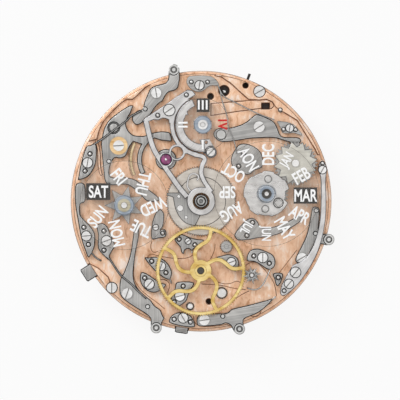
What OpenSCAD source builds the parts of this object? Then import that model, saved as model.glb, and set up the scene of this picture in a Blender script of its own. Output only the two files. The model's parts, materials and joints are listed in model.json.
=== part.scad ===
// Perpetual calendar watch movement, seen from the dial side.
// Millimetres. The origin is on the centre axis, in the plane on which the flange sits in its case.
// +Z points out of the dial side and +Y to 12 o'clock. The going train is on the -Z side.

/* [Plates] */
// Radius of the flange that rests on the case
flange_r = 16.0; // [15.9:0.05:16.2]
// Radius of the plate below the flange, which fits into the case
seat_r = 15.5; // [15.4:0.05:15.6]
// Radius of the calendar plate
calendar_r = 15.65; // [15.6:0.05:15.7]
// Thickness of the flange
flange_t = 0.6; // [0.6:0.02:0.64]
// How far the main plate reaches behind the flange
plate_depth = 1.4; // [1.3:0.05:1.4]
// Height of the calendar plate's rim above the flange
rim_t = 0.9; // [0.85:0.05:1.0]
// Depth of the recess that the levers lie in
recess_depth = 0.4; // [0.35:0.05:0.4]

/* [Steelwork] */
// Thickness of the levers
lever_t = 0.45; // [0.4:0.05:0.45]
// Gap between a moving piece and the one below it
lift = 0.05; // [0.04:0.01:0.06]
// Thickness of the spring feet
foot_t = 0.7; // [0.65:0.01:0.7]
// Radial play of a pin, screw or post in its hole
play = 0.03; // [0.02:0.01:0.04]
// Height of a screw head
head_t = 0.28; // [0.2:0.02:0.28]
// Radius of a steady pin
pin_r = 0.2; // [0.18:0.01:0.22]

/* [Calendar] */
// Radius of the clear day disc
day_r = 5.45; // [5.3:0.05:5.5]
// Radius of the clear month disc
month_r = 6.45; // [6.3:0.05:6.5]
// Radius of the clear leap year disc
leap_r = 3.25; // [3.1:0.05:3.3]
// Thickness of the clear discs
disc_t = 0.2; // [0.15:0.05:0.2]
// Number of teeth on the moon wheel
moon_teeth = 118; // [118]
// Number of leaves on the moon star's pinion
moon_leaves = 16; // [16]

/* [Going train] */
// Radius of the balance wheel
balance_r = 4.0; // [3.8:0.1:4.0]
// Number of turns of the balance spring
hairspring_turns = 8; // [6:1:9]
// Radius of the hour pipe, which carries the hour hand
hour_pipe_r = 0.8; // [0.78:0.01:0.82]
// Radius of the cannon pinion, which carries the minute hand
minute_pipe_r = 0.5; // [0.48:0.01:0.52]
// Radius of the stem hole
stem_hole_r = 0.6; // [0.55:0.05:0.6]

/* [Hidden] */
$fn = 48;

steel = "#a9a9a7";
polished = "#cfcbcb";
rose_gold = "#e9b48f";
gold = "#e8c870";
screw_white = "#e4e2e0";
clear_disc = [0.85, 0.85, 0.83, 0.35];
window_black = "#3a3432";
ruby = "#a0457f";

// Levels, from the case seat up
floor_z = flange_t + rim_t - recess_depth;
lever_z = floor_z + lift;
lever_top = lever_z + lever_t;
foot_top = floor_z + foot_t;
blade_z = lever_top + lift;
blade_t = foot_top - blade_z;
star_z = 1.7;
star_t = 0.25;
bridge_z = 2.0;
bridge_t = 0.35;
bridge_top = bridge_z + bridge_t;
moon_z = 2.2;
moon_t = 0.25;
backing_z = 2.45;
backing_t = 0.2;
disc_z = 2.75;
collar_z = disc_z + disc_t;
collar_t = 0.2;

// Places of the axes, seen from the dial side
day_c = [-9.4, -0.5];
month_c = [8.0, 0.9];
leap_c = [0.2, 9.35];
month_star_c = [11.55, 4.65];
satellite_c = [9.45, -0.2];
moon_c = [-0.05, -8.5];
moon_star_c = [6.2, -9.05];
jewel_c = [-4.3, 5.1];

// Geometry helpers

function polar(r, a) = [r * cos(a), r * sin(a)];

function heading(from, to) = atan2(to[1] - from[1], to[0] - from[0]);

// Points along an arc
function arc(c, r, a0, a1, n = 8) = [for (i = [0:n]) c + polar(r, a0 + (a1 - a0) * i / n)];

function curve_point(a, b, c, d, t) =
  0.5 * (2 * b + (c - a) * t + (2 * a - 5 * b + 4 * c - d) * t * t + (3 * b - 3 * c + d - a) * t * t * t);

// A closed outline that runs smoothly through its points
function smooth(p, n = 3) = [for (i = [0:len(p) - 1]) for (j = [0:n - 1])
  curve_point(p[(i + len(p) - 1) % len(p)], p[i], p[(i + 1) % len(p)], p[(i + 2) % len(p)], j / n)];

// An open line that runs smoothly through its points
function smooth_line(p, n = 4) = [for (i = [0:len(p) - 2]) for (j = [0:(i == len(p) - 2 ? n : n - 1)])
  curve_point(p[max(i - 1, 0)], p[i], p[i + 1], p[min(i + 2, len(p) - 1)], j / n)];

function side(p, i) = let (d = p[min(i + 1, len(p) - 1)] - p[max(i - 1, 0)]) [-d[1], d[0]] / norm(d);

// The outline of a strip of width w along an open line
function strip(p, w) = concat([for (i = [0:len(p) - 1]) p[i] + side(p, i) * w / 2],
  [for (i = [len(p) - 1:-1:0]) p[i] - side(p, i) * w / 2]);

// The outline of a gear: n teeth on pitch radius r, with a tooth at angle turn
function gear(n, r, turn = 0) = let (m = 2 * r / n, step = 360 / n) [for (i = [0:n - 1])
  for (c = [[-0.27, -1.1], [-0.1, 0.8], [0.1, 0.8], [0.27, -1.1]])
    polar(r + c[1] * m, turn + (i + c[0]) * step)];

// The outline of a star with n points
function star(n, r, waist, turn = 0) = [for (i = [0:2 * n - 1])
  polar(i % 2 == 0 ? r : waist, turn + i * 180 / n)];

module at(c, z = 0) translate([c[0], c[1], z]) children();

module flat(outline, z, t) translate([0, 0, z]) linear_extrude(t) polygon(outline);

module disc(c, r, z, t) at(c, z) cylinder(r = r, h = t);

module ring(c, r_out, r_in, z, t) difference() {
  disc(c, r_out, z, t);
  disc(c, r_in, z - 1, t + 2);
}

// A turned piece from its profile of [radius, height] points
module turned(c, profile) at(c) rotate_extrude() polygon(profile);

// Windows that leave n straight spokes of width w in a wheel
module spoke_windows(c, r_in, r_out, n, w, z, t, turn = 0) difference() {
  ring(c, r_out, r_in, z, t);
  for (i = [0:n - 1]) at(c, z - 1) rotate(turn + i * 360 / n) translate([0, -w / 2, 0])
    cube([r_out + 1, w, t + 2]);
}

// A slotted screw: s is [x, y, head radius, slot angle], its head sits at z and its shank ends at foot
module screw(s, z, foot, up = 1, t = head_t) {
  head_z = up > 0 ? z : z - t;
  difference() {
    union() {
      disc(s, s[2], head_z, t);
      disc(s, shank_r(s), min(z, foot), abs(z - foot));
    }
    at(s, z + up * t) rotate(s[3]) cube([3 * s[2], 0.12, 0.86 * t], center = true);
  }
}

function shank_r(s) = 0.5 * s[2];

module screw_holes(list, z, t) for (s = list) disc(s, shank_r(s) + play, z, t);

module pin_holes(list, z, t) for (p = list) disc(p, pin_r + play, z, t);

// A pin with a chamfered end
module pin(p, z0, z1, r = pin_r) turned(p, [[0, z0], [r, z0], [r, z1 - 0.08], [r - 0.08, z1], [0, z1]]);

// Fixings: a screw is [x, y, head radius, slot angle] and a steady pin is [x, y]

plate_screw_at = [[7.15, 13.45, 0.66, 30], [-10.95, -10.6, 0.62, 90]];
top_screw = [[-0.2, 14.2, 0.52, 80]];
top_pins = [[-1.2, 14.6], [0.8, 14.6]];
ne_screw = [[10.85, 8.95, 0.44, 80]];
ne_pins = [[10.1, 8.8], [11.55, 8.75]];
sw_screw = [[-11.6, -4.85, 0.58, 20]];
sw_pins = [[-11.9, -3.65], [-11.9, -6.0]];
w_screw = [[-14.05, -4.25, 0.56, 5]];
w_pins = [[-14.35, -3.2], [-13.8, -5.3]];
nw_screw = [[-13.9, 4.7, 0.57, 80]];
nw_pins = [[-13.6, 5.8], [-14.2, 3.7]];
upper_screw = [[-4.9, -7.95, 0.5, 70]];
upper_pins = [[-6.05, -7.35], [-4.3, -8.75]];
lower_screw = [[-6.35, -10.15, 0.57, 50]];
lower_pins = [[-6.9, -9.4]];
moon_foot_screw = [[-2.6, -11.6, 0.58, 15]];
moon_foot_pins = [[-2.2, -10.4], [-3.3, -12.35]];
bottom_screw = [[-2.2, -14.3, 0.57, 120]];
bottom_pins = [[-3.3, -14.45], [-1.3, -14.8]];
kidney_screw = [[7.55, -6.9, 0.58, 90]];
kidney_pins = [[6.45, -6.7], [8.35, -7.6]];
yoke_screw = [[-1.6, -4.9, 0.32, 40]];
yoke_pins = [[-2.7, -4.65], [-0.75, -5.35]];
jumper_pins = [[-4.7, -3.9]];
jumper_screw = [[-5.55, -3.2, 0.3, 10]];
bridge_screw = [[-3.9, 11.15, 0.66, 35], [1.2, 6.0, 0.5, 45]];
bridge_pins = [[-5.3, 10.5], [-1.8, 13.0]];
arc_head_screw = [[14.85, 3.85, 0.46, 60]];
arc_head_pins = [[14.85, 4.65]];
arc_foot_screws = [[11.55, -8.7, 0.6, 50], [10.75, -10.1, 0.52, 50]];
arc_foot_pins = [[10.15, -10.95]];
moon_cover_screw = [[3.7, -7.45, 0.5, 20]];
cover_pins = [[5.2, 5.9], [4.6, 4.3], [5.6, -4.2], [6.3, -2.6], [9.45, -9.35]];

foot_screw_list = concat(top_screw, ne_screw, sw_screw, w_screw, nw_screw, upper_screw, lower_screw,
  moon_foot_screw, bottom_screw, kidney_screw, yoke_screw, jumper_screw, moon_cover_screw);
bridge_screw_list = concat(bridge_screw, arc_head_screw, arc_foot_screws);
foot_pin_list = concat(top_pins, ne_pins, sw_pins, w_pins, nw_pins, upper_pins, lower_pins,
  moon_foot_pins, bottom_pins, kidney_pins, yoke_pins, jumper_pins, cover_pins);
bridge_pin_list = concat(bridge_pins, arc_head_pins, arc_foot_pins);
land_pins = [[9.71, 11.19]];
// Plain studs: [x, y, radius]
studs = [[2.53, -11.25, 0.6], [-1.34, -12.88, 0.38]];
// Pin in the flange's edge: direction, inner end, outer end, radius and height
edge_pin = [69.1, 15.45, 16.75, 0.16, 0.3];

// Lever pivots, as shouldered screws
nw_pivot = [-5.5, 13.25, 0.62, 100];
e_pivot = [12.35, -6.95, 0.62, 30];
sw_pivot = [-9.05, -11.3, 0.64, 70];
s_pivot = [0.4, -14.55, 0.64, 10];
month_pivot = [7.1, 9.1, 0.67, 33];
calendar_pivot = [-10.1, 6.8, 0.66, 5];
pivot_list = [nw_pivot, e_pivot, sw_pivot, s_pivot, month_pivot, calendar_pivot];
shoulder_r = 0.42;
washer_t = 0.12;

// Main plate and calendar plate

motion_recess = 0.95;
minute_c = polar(3.0, 215);
stem_z = -2.0;
keyless_slot = [[7.2, 11.6], [-1.75, 1.75]];
dial_foot_r = 0.35;
dial_feet = [[5.45, 14.2], [0.95, -12.3]];
pusher_inner_r = 13.7;
// Each pusher: direction, width and outer radius
pusher_at = [[-147.5, 1.75, 17.1], [-98.6, 1.6, 16.4]];
pusher_z = 0.12;
pusher_t = 0.4;

module main_plate() color(rose_gold) difference() {
  union() {
    disc([0, 0], flange_r, 0, flange_t);
    disc([0, 0], seat_r, -plate_depth, plate_depth);
    ring([0, 0], seat_r, seat_r - 0.9, -plate_depth - 1.3, 1.3);
    intersection() {
      disc([0, 0], seat_r, -plate_depth - 1.3, 1.4);
      translate([11.7, -1.9, -plate_depth - 1.3]) cube([4, 3.8, 1.4]);
    }
  }
  disc([0, 0], centre_arbor_r + play, -3, 4);
  disc([0, 0], 2.85, flange_t - motion_recess, 2);
  disc(minute_c, 2.45, flange_t - motion_recess, 2);
  translate([keyless_slot[0][0], keyless_slot[1][0], -3])
    cube([keyless_slot[0][1] - keyless_slot[0][0], keyless_slot[1][1] - keyless_slot[1][0], 2.6]);
  translate([7, 0, stem_z]) rotate([0, 90, 0]) cylinder(r = stem_hole_r, h = 10);
  for (c = dial_feet) disc(c, dial_foot_r, 0.05, 2);
  rotate(edge_pin[0]) translate([edge_pin[1] - 0.05, 0, edge_pin[4]]) rotate([0, 90, 0])
    cylinder(r = edge_pin[3] + play, h = 2);
  for (s = plate_screw_at) disc(s, shank_r(s) + play, -1.0, 3);
  for (s = back_screws) disc(s, shank_r(s) + play, plate_back - 1, 1.6);
  for (p = train_pivots) disc(p, pivot_r + play, plate_back - 1, 1.6);
  disc(barrel_c, 0.3 + play, plate_back - 1, 1.6);
  disc(minute_c, 0.2, -0.8, 1);
  for (p = pusher_at) rotate(p[0]) translate([pusher_inner_r - 0.5, -p[1] / 2 - 0.05, pusher_z - 0.04])
    cube([5, p[1] + 0.1, 1]);
}

module land(outline) intersection() {
  flat(outline, floor_z, recess_depth);
  disc([0, 0], calendar_r, floor_z - 1, 3);
}

land_nw = [[-14.6, 7.2], [-12.8, 7.6], [-12.5, 8.7], [-12, 9.8], [-11.1, 10.8], [-9.8, 12.1], [-9.1, 12.5],
  [-8.4, 12.5], [-7.9, 12.9], [-6.9, 13.9], [-5.3, 15], [-4.5, 15.4], [-4.5, 17], [-17, 17], [-17, 7.2]];
land_ne = [[1.9, 17], [1.7, 15.4], [2.4, 15.3], [3.7, 14.4], [4.9, 13.3], [5.8, 12.5], [7.1, 12.4],
  [8, 12.5], [8.7, 12.2], [9.1, 11.6], [10.3, 10.8], [11.8, 9.9], [12.9, 8.1], [13.9, 6.5], [14.3, 5.7],
  [17, 5.7], [17, 17]];
land_sw = [[-17, -7.4], [-14.3, -7.4], [-12.6, -8.2], [-11.4, -9.3], [-10.7, -11.0], [-10.8, -12.2],
  [-11.5, -13.5], [-17, -13.5]];

// Low step beside the leap year disc, and the wall between the north-west foot and the grand lever
step_ne = [[1.2, 10.5], [4.25, 10.98], [7.4, 11.4], [8.6, 11.35], [8.95, 11.7], [8.75, 12.2], [8.3, 12.42],
  [7.66, 12.48], [4.5, 12.24], [1.2, 11.97]];
step_t = 0.08;
wall_nw = [[-12.85, 7.45], [-12.7, 6.9], [-12.52, 5.9], [-12.5, 4.6], [-12.35, 3.6], [-12.2, 3.2]];

module calendar_plate() color(rose_gold) difference() {
  union() {
    disc([0, 0], calendar_r, flange_t, floor_z - flange_t);
    flat(step_ne, floor_z, step_t);
    flat(strip(smooth_line(wall_nw), 0.22), floor_z, recess_depth - 0.05);
    land(land_nw);
    land(land_ne);
    land(land_sw);
    disc([0, 0], 1.2, floor_z, lever_t + 0.1);
  }
  disc([0, 0], hour_pipe_r + play, 0, 3);
  disc([2.8, 13.55], 0.66, floor_z - 0.35, 2);
  disc([1.15, 12.85], 0.38, 0, 3);
  translate([7.4, 11.3, floor_z - 0.35]) cube([1.0, 0.75, 2]);
  for (c = dial_feet) disc(c, dial_foot_r, 0, 3);
  for (s = plate_screw_at) {
    disc(s, s[2] + 0.06, floor_z, 2);
    disc(s, shank_r(s) + play, 0, 3);
  }
  screw_holes(concat(foot_screw_list, bridge_screw_list), flange_t + 0.05, 2);
  pin_holes(concat(foot_pin_list, bridge_pin_list, land_pins), flange_t + 0.2, 2);
  for (s = studs) disc(s, s[2] + play, flange_t + 0.2, 2);
  for (p = pivot_list) disc(p, shank_r(p) + play, flange_t + 0.05, 2);
  for (p = post_list) disc(p, p[2] + 0.01, flange_t + 0.05, 2);
  for (p = backing_posts) disc(p, backing_post_r + 0.01, flange_t + 0.2, 2);
}

// Correction pusher in the flange
module case_pusher(p) color(steel) rotate(p[0]) {
  translate([pusher_inner_r, -p[1] / 2, pusher_z]) cube([p[2] - pusher_inner_r - 0.4, p[1], pusher_t]);
  flat([[p[2] - 0.4, -p[1] / 2], [p[2] - 0.1, -p[1] / 2], [p[2], -p[1] / 2 + 0.2],
    [p[2], p[1] / 2 - 0.2], [p[2] - 0.1, p[1] / 2], [p[2] - 0.4, p[1] / 2]], pusher_z, pusher_t);
}

module case_pusher_w() case_pusher(pusher_at[0]);

module case_pusher_s() case_pusher(pusher_at[1]);

// Spring feet: a screwed and pinned steel block, with a thin blade on top that presses on a lever

module foot(outline, screws, pins, t = foot_t) difference() {
  flat(smooth(outline), floor_z, t);
  screw_holes(screws, 0, 3);
  pin_holes(pins, 0, 3);
}

module blade(line, w = 0.2) flat(strip(smooth_line(line), w), blade_z, blade_t);

module spring_foot_top() color(steel) {
  foot([[-1.8, 14.6], [-1.6, 15.2], [-1.2, 15.35], [0, 15.4], [1.2, 15.3], [1.9, 14.8], [2.2, 14.2],
    [1.8, 14.15], [1.1, 14.15], [0.5, 13.7], [-0.1, 13.4], [-0.8, 13.5], [-1.4, 13.9]], top_screw, top_pins);
  blade([[2.0, 14.4], [2.3, 13.6], [2.6, 12.2], [3.0, 11.1], [3.2, 10.1], [3.4, 8.9], [4.0, 7.5],
    [4.3, 6.2], [4.3, 5.8]], 0.14);
  blade([[2.1, 14.1], [2.8, 12.85], [4.6, 11.9], [6.8, 10.8], [9.0, 9.95]], 0.14);
}

module spring_foot_ne() color(steel) foot([[9.35, 9.8], [10.5, 9.7], [11.3, 9.4], [11.8, 8.9], [12.3, 8.3],
  [12.3, 8.05], [11.4, 8.35], [10.7, 8.3], [10.0, 8.4], [9.75, 8.9], [9.5, 9.4]], ne_screw, ne_pins);

module spring_foot_sw() color(steel) {
  foot([[-12.8, -3.0], [-12.1, -2.7], [-11.5, -3.1], [-11.0, -4.2], [-10.55, -5.4], [-10.9, -6.1],
    [-11.2, -6.7], [-11.2, -7.2], [-11.7, -6.9], [-12.6, -5.8], [-12.6, -4.2]], sw_screw, sw_pins);
  blade([[-11.3, -6.9], [-10.6, -8.0], [-9.8, -9.1], [-8.6, -10.1], [-7.8, -10.9], [-6.7, -11.9]], 0.26);
}

module spring_foot_w() color(steel) {
  foot([[-15.3, 2.1], [-14.3, 2.1], [-14.15, 0.1], [-14.8, -0.4], [-14.8, -1.6], [-14.3, -2.3], [-13.6, -3.0],
    [-13.05, -3.9], [-13.0, -5.0], [-13.2, -6.0], [-13.8, -6.9], [-14.2, -6.0], [-14.7, -4.5], [-15.1, -2.3],
    [-15.4, -0.5], [-15.45, 0.9]], w_screw, w_pins);
  blade([[-13.5, -6.2], [-12.9, -6.9], [-12.2, -7.3]], 0.22);
}

module spring_foot_nw() color(steel) {
  foot([[-14.1, 6.6], [-13.5, 6.85], [-12.85, 6.9], [-12.85, 5.0], [-13.2, 3.9], [-13.9, 3.0], [-15.0, 2.6],
    [-15.0, 3.1], [-14.7, 4.7]], nw_screw, nw_pins);
  blade([[-13.7, 6.6], [-12.0, 7.7], [-11.1, 8.4], [-9.2, 9.8], [-8.6, 10.4], [-7.3, 11.1]], 0.26);
}

// Three feet that show through the moon wheel
module moon_work_feet() {
  color(steel) upper_foot();
  color(steel) lower_foot();
  color(steel) moon_cover();
  color(polished) moon_foot();
}

module upper_foot() {
  foot([[-6.9, -7.0], [-6.4, -6.9], [-5.6, -6.8], [-4.9, -6.95], [-4.1, -7.6], [-3.65, -8.4], [-3.6, -9.0],
    [-3.9, -9.6], [-4.7, -9.3], [-5.7, -8.5]], upper_screw, upper_pins);
  blade([[-4.0, -9.3], [-3.75, -9.7], [-3.65, -10.1]], 0.18);
}

// Cover and small pinion wheel right of the moon wheel's hub
module moon_cover() {
  foot([[1.9, -6.85], [2.6, -6.65], [3.4, -6.5], [4.2, -6.75], [4.6, -7.3], [4.6, -8.0], [4.2, -8.6], [3.9, -8.4],
    [3.2, -8.2], [2.9, -7.6], [2.4, -7.1]], moon_cover_screw, []);
  at([3.1, -5.55], floor_z) linear_extrude(0.4) polygon(gear(20, 0.75));
  disc([3.1, -5.55], 0.25, floor_z, 0.5);
}

module lower_foot() foot([[-7.3, -8.7], [-7.5, -9.4], [-7.3, -10.2], [-6.7, -10.9],
  [-5.8, -11.2], [-5.1, -11.0], [-4.6, -10.7], [-4.3, -10.2], [-5.0, -9.95], [-5.7, -9.5], [-6.6, -8.9]],
  lower_screw, lower_pins);

module moon_foot() foot([[-2.9, -9.9], [-0.9, -9.95], [-1.3, -10.9], [-1.6, -11.6],
  [-1.8, -12.2], [-2.4, -12.7], [-2.9, -12.9], [-3.7, -12.3], [-3.6, -11.4], [-3.2, -10.7]],
  moon_foot_screw, moon_foot_pins);

module bottom_foot() color(steel) foot([[-3.6, -14.0], [-2.7, -13.6], [-1.7, -13.8], [-1.2, -14.1],
  [-0.95, -14.6], [-0.75, -15.3], [-1.2, -15.45], [-2.5, -15.3], [-3.6, -15.0], [-3.95, -14.7]],
  bottom_screw, bottom_pins);

module kidney_foot() color(steel) {
  foot([[5.6, -6.8], [6.0, -6.05], [6.9, -5.8], [7.9, -6.1], [8.8, -6.6], [9.1, -7.4], [8.9, -8.1], [8.3, -8.4],
    [7.7, -8.1], [7.1, -7.7], [6.4, -7.4], [5.7, -7.35]], kidney_screw, kidney_pins);
  blade([[8.6, -8.0], [8.0, -9.4], [7.4, -10.4], [6.6, -10.85], [5.6, -10.6]], 0.16);
}

// Feet beside the date wheel: a yoke and the date jumper
module date_work_feet() color(steel) {
  yoke_foot();
  date_jumper();
}

module yoke_foot() foot([[-3.25, -4.65], [-2.6, -4.1], [-2.3, -4.05], [-1.4, -4.42], [-0.5, -4.65], [0.25, -4.72],
  [0.3, -5.0], [0.05, -5.3], [-0.76, -5.7], [-1.05, -6.1], [-1.1, -6.4], [-1.25, -6.0], [-1.6, -5.8],
  [-2.0, -6.0], [-2.1, -6.45], [-2.4, -6.3], [-2.57, -5.63], [-2.95, -5.2]], yoke_screw, yoke_pins);

module date_jumper() foot([[-5.68, -1.66], [-5.35, -1.2], [-4.98, -0.97], [-4.6, -1.36], [-4.52, -1.84],
  [-4.64, -2.96], [-4.95, -3.55], [-4.43, -3.45], [-4.25, -3.9], [-4.43, -4.4], [-5.25, -4.55], [-6.06, -4.6],
  [-6.05, -2.96]], jumper_screw, jumper_pins);

// Small fixed covers that show through the month disc
module cover_plates() color(steel) {
  foot([[4.6, 6.9], [5.5, 7.05], [6.5, 6.7], [7.3, 6.0], [7.6, 4.9], [7.4, 4.1], [6.6, 3.8], [6.0, 3.3],
    [5.3, 3.3], [4.3, 3.7], [3.7, 4.6], [3.8, 5.7]], [], [cover_pins[0], cover_pins[1]], 0.5);
  foot([[4.1, -4.0], [5.2, -2.6], [5.9, -2.1], [6.5, -2.1], [7.0, -2.6], [7.3, -3.2], [8.6, -3.2], [10.4, -2.6],
    [12.2, -1.6], [12.5, -1.7], [12.4, -2.3], [10.5, -3.6], [8.6, -4.3], [7.0, -4.5], [6.1, -4.7], [4.9, -4.8],
    [4.4, -4.7]], [], [cover_pins[2], cover_pins[3]], 0.5);
  disc(jewel_c, 1.3, floor_z, 0.3);
  foot([[8.8, -8.95], [9.3, -8.75], [10.0, -8.9], [9.9, -9.6], [9.55, -10.3], [9.2, -10.3], [9.0, -9.6]],
    [], [cover_pins[4]], 0.5);
}

module dial_screws() color(screw_white) {
  for (s = plate_screw_at) screw(s, floor_z, -0.9);
  for (s = foot_screw_list) screw(s, foot_top, flange_t + 0.1);
  for (s = bridge_screw_list) screw(s, bridge_top, flange_t + 0.1);
}

module dial_pins() color(screw_white) {
  for (p = foot_pin_list) pin(p, flange_t + 0.25, foot_top + 0.12);
  for (p = bridge_pin_list) pin(p, flange_t + 0.25, bridge_top + 0.12);
  for (p = land_pins) pin(p, flange_t + 0.25, floor_z + recess_depth + 0.1);
  for (s = studs) pin(s, flange_t + 0.25, floor_z + 0.25, s[2]);
  rotate(edge_pin[0]) translate([edge_pin[1], 0, edge_pin[4]]) rotate([0, 90, 0])
    cylinder(r = edge_pin[3], h = edge_pin[2] - edge_pin[1]);
}

// Fixed bridges over the calendar work

leap_arc_r = [3.45, 4.05];
ring_seat_c = [-2.95, 5.95];
centre_lug_r = 1.75;

module calendar_bridge() {
  color(polished) bridge_frame();
  color("#dedcda") leap_guard();
}

module bridge_frame() difference() {
  union() {
    flat(smooth([[-1.7, 13.65], [-0.8, 13.25], [-0.75, 12.95], [-1.5, 12.5], [-2.4, 11.8], [-2.9, 11.0],
      [-3.2, 10.1], [-3.9, 9.4], [-4.0, 9.95], [-4.7, 10.15], [-5.2, 9.9], [-5.8, 9.95], [-6.4, 9.75],
      [-7.0, 9.8], [-7.0, 10.05], [-4.4, 11.8]], 2), bridge_z, bridge_t);
    flat(smooth([[-2.2, 13.2], [-1.1, 13.2], [-1.2, 12.8], [-2.2, 12.1], [-3.0, 11.2], [-3.5, 10.2],
      [-4.6, 10.3], [-5.9, 10.1], [-4.4, 11.6]], 2), floor_z, bridge_z - floor_z);
    flat(concat(arc(leap_c, leap_arc_r[0], 115, 262, 12), arc(leap_c, leap_arc_r[1], 262, 130, 12)),
      bridge_z, bridge_t);
    flat(strip(smooth_line([[-6.75, 9.85], [-6.35, 8.1], [-5.8, 6.4], [-4.9, 4.9], [-3.9, 3.4], [-2.7, 1.7],
      [-1.7, 0.5]]), 0.7), bridge_z, bridge_t);
    flat(strip(smooth_line([[-0.9, 5.7], [0.1, 5.5], [0.45, 5.1], [0.1, 4.3], [0.0, 3.4], [0.35, 2.5],
      [0.8, 1.8], [1.3, 1.1]]), 0.6), bridge_z, bridge_t);
    flat(strip(smooth_line([[-2.4, 6.9], [-1.6, 6.1], [-0.5, 5.75]]), 0.5), bridge_z, bridge_t);
    flat(strip([[-4.3, 5.1], [-2.95, 5.95], [-1.7, 6.0]], 0.45), bridge_z, bridge_t);
    disc(jewel_c, 0.93, bridge_z, bridge_t);
    disc(ring_seat_c, 1.03, bridge_z, bridge_t);
    disc([0, 0], centre_lug_r, bridge_z - 0.15, bridge_t + 0.15);
    disc([1.2, 6.0], 0.72, bridge_z, bridge_t);
    flat([[-0.2, 7.55], [1.0, 7.65], [1.6, 6.6], [1.3, 5.8], [0.3, 5.8]], bridge_z, bridge_t - 0.1);
    flat(strip(smooth_line([[-1.2, 1.1], [-1.67, 1.79], [-1.62, 2.48], [-1.41, 3.12], [-0.93, 3.38],
      [-0.45, 3.2], [-0.3, 2.86], [-0.54, 2.56]]), 0.22), bridge_z, 0.2);
  }
  disc([0, 0], 0.95, 0, 4);
  disc(jewel_c, jewel_r, 0, 4);
  disc(ring_seat_c, 0.69, 0, 4);
  screw_holes(bridge_screw, 0, 4);
  pin_holes(bridge_pins, 0, 4);
  disc([0.62, 7.2], 0.15, 0, 4);
}

// Polished bridge along the right edge, with its foot at 4 o'clock and its head at 3 o'clock
module arc_bridge() color(polished) difference() {
  union() {
    flat(smooth([[14.45, 4.6], [14.4, 3.8], [14.55, 3.1], [14.65, 2.3], [14.65, 0.5], [14.6, -1.5], [14.4, -3.1],
      [14.1, -4.3], [13.6, -5.7], [13.0, -6.7], [12.2, -7.4], [11.3, -7.8], [10.8, -8.5], [10.2, -9.6],
      [9.7, -10.8], [9.8, -11.5], [10.4, -11.45], [11.6, -10.45], [12.7, -9.05], [13.6, -7.6], [14.35, -6.0],
      [14.9, -4.1], [15.2, -2.4], [15.3, -0.5], [15.25, 2.3], [15.3, 3.1], [15.4, 3.8], [15.2, 4.6],
      [14.85, 5.0]]), bridge_z, bridge_t);
    flat(smooth([[14.45, 4.6], [14.4, 3.8], [14.6, 3.25], [15.2, 3.3], [15.35, 3.8], [15.15, 4.6],
      [14.85, 4.95]]), floor_z, bridge_z - floor_z);
    flat(smooth([[11.3, -8.05], [10.8, -8.6], [10.2, -9.6], [9.75, -10.8], [9.85, -11.4], [10.4, -11.4],
      [11.6, -10.4], [12.3, -9.5], [12.4, -8.7], [12.0, -8.1]]), floor_z, bridge_z - floor_z);
  }
  screw_holes(concat(arc_head_screw, arc_foot_screws), 0, 4);
  pin_holes(concat(arc_head_pins, arc_foot_pins), 0, 4);
}

// Pale crescent over the calendar bridge, round the left of the leap year disc
module leap_guard() flat(concat(arc(leap_c, 3.4, 112, 275, 14),
  arc(leap_c, 2.35, 275, 150, 14), [leap_c + polar(2.1, 146)], arc(leap_c, 2.45, 140, 112, 4)), bridge_top, 0.2);

backing_post_r = 0.32;
backing_posts = [[-13.25, 1.1], [13.25, 0.75], [0.6, 12.2]];
backing_boxes = [[-14.05, 0.15, 2.95, 2.05], [11.3, -0.3, 2.9, 1.98], [-0.55, 10.9, 1.6, 1.65]];

// Black plates behind the day, month and year that read upright
module window_backings() color(window_black) for (i = [0:2]) {
  b = backing_boxes[i];
  translate([b[0], b[1], backing_z]) cube([b[2], b[3], backing_t]);
  disc(backing_posts[i], backing_post_r, flange_t + 0.25, backing_z - flange_t - 0.25);
}

// Levers, each on a shouldered screw

module lever(outline, pivot, pins = [], steps = 3) {
  difference() {
    flat(smooth(outline, steps), lever_z, lever_t);
    disc(pivot, shoulder_r + play, 0, 4);
  }
  for (p = pins) disc(p, pin_r, lever_top, 0.3);
}

module ear(c, r) {
  ring(c, r, 0.42, lever_top, 0.12);
  disc(c, 0.22, lever_top, 0.25);
}

module corrector_nw() color(steel) {
  lever([[-4.0, 15.1], [-3.95, 15.9], [-3.4, 16.75], [-2.75, 16.3], [-2.6, 15.3], [-2.7, 14.5], [-2.85, 13.9],
    [-3.3, 13.55], [-3.9, 13.4], [-4.4, 12.9], [-4.7, 12.3], [-5.2, 11.95], [-5.75, 11.35], [-6.2, 10.6],
    [-7.0, 9.8], [-7.5, 9.45], [-7.95, 9.35], [-8.35, 9.7], [-8.45, 10.2], [-8.15, 10.8], [-7.65, 11.15],
    [-7.2, 11.3], [-6.95, 12.1], [-6.6, 13.0], [-6.2, 13.8], [-5.6, 14.15], [-4.9, 14.35], [-4.3, 14.55]],
    nw_pivot, [[-6.85, 11.3]]);
  ear([-3.35, 16.1], 0.6);
}

module corrector_e() color(steel) {
  lever([[13.7, -0.75], [13.5, -1.4], [13.2, -3.0], [12.85, -4.3], [12.2, -5.7], [11.6, -6.9], [11.6, -7.4],
    [12.0, -7.65], [12.6, -7.5], [13.1, -7.0], [13.5, -6.0], [14.0, -5.3], [14.9, -5.3], [15.5, -5.4],
    [16.2, -5.1], [16.3, -4.5], [15.9, -4.05], [15.3, -4.0], [14.6, -3.9], [14.4, -3.3], [14.5, -2.2],
    [14.55, -1.3], [14.35, -0.75]], e_pivot, [[14.1, -1.15], [14.0, -3.95]]);
  ear([15.65, -4.7], 0.58);
}

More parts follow.
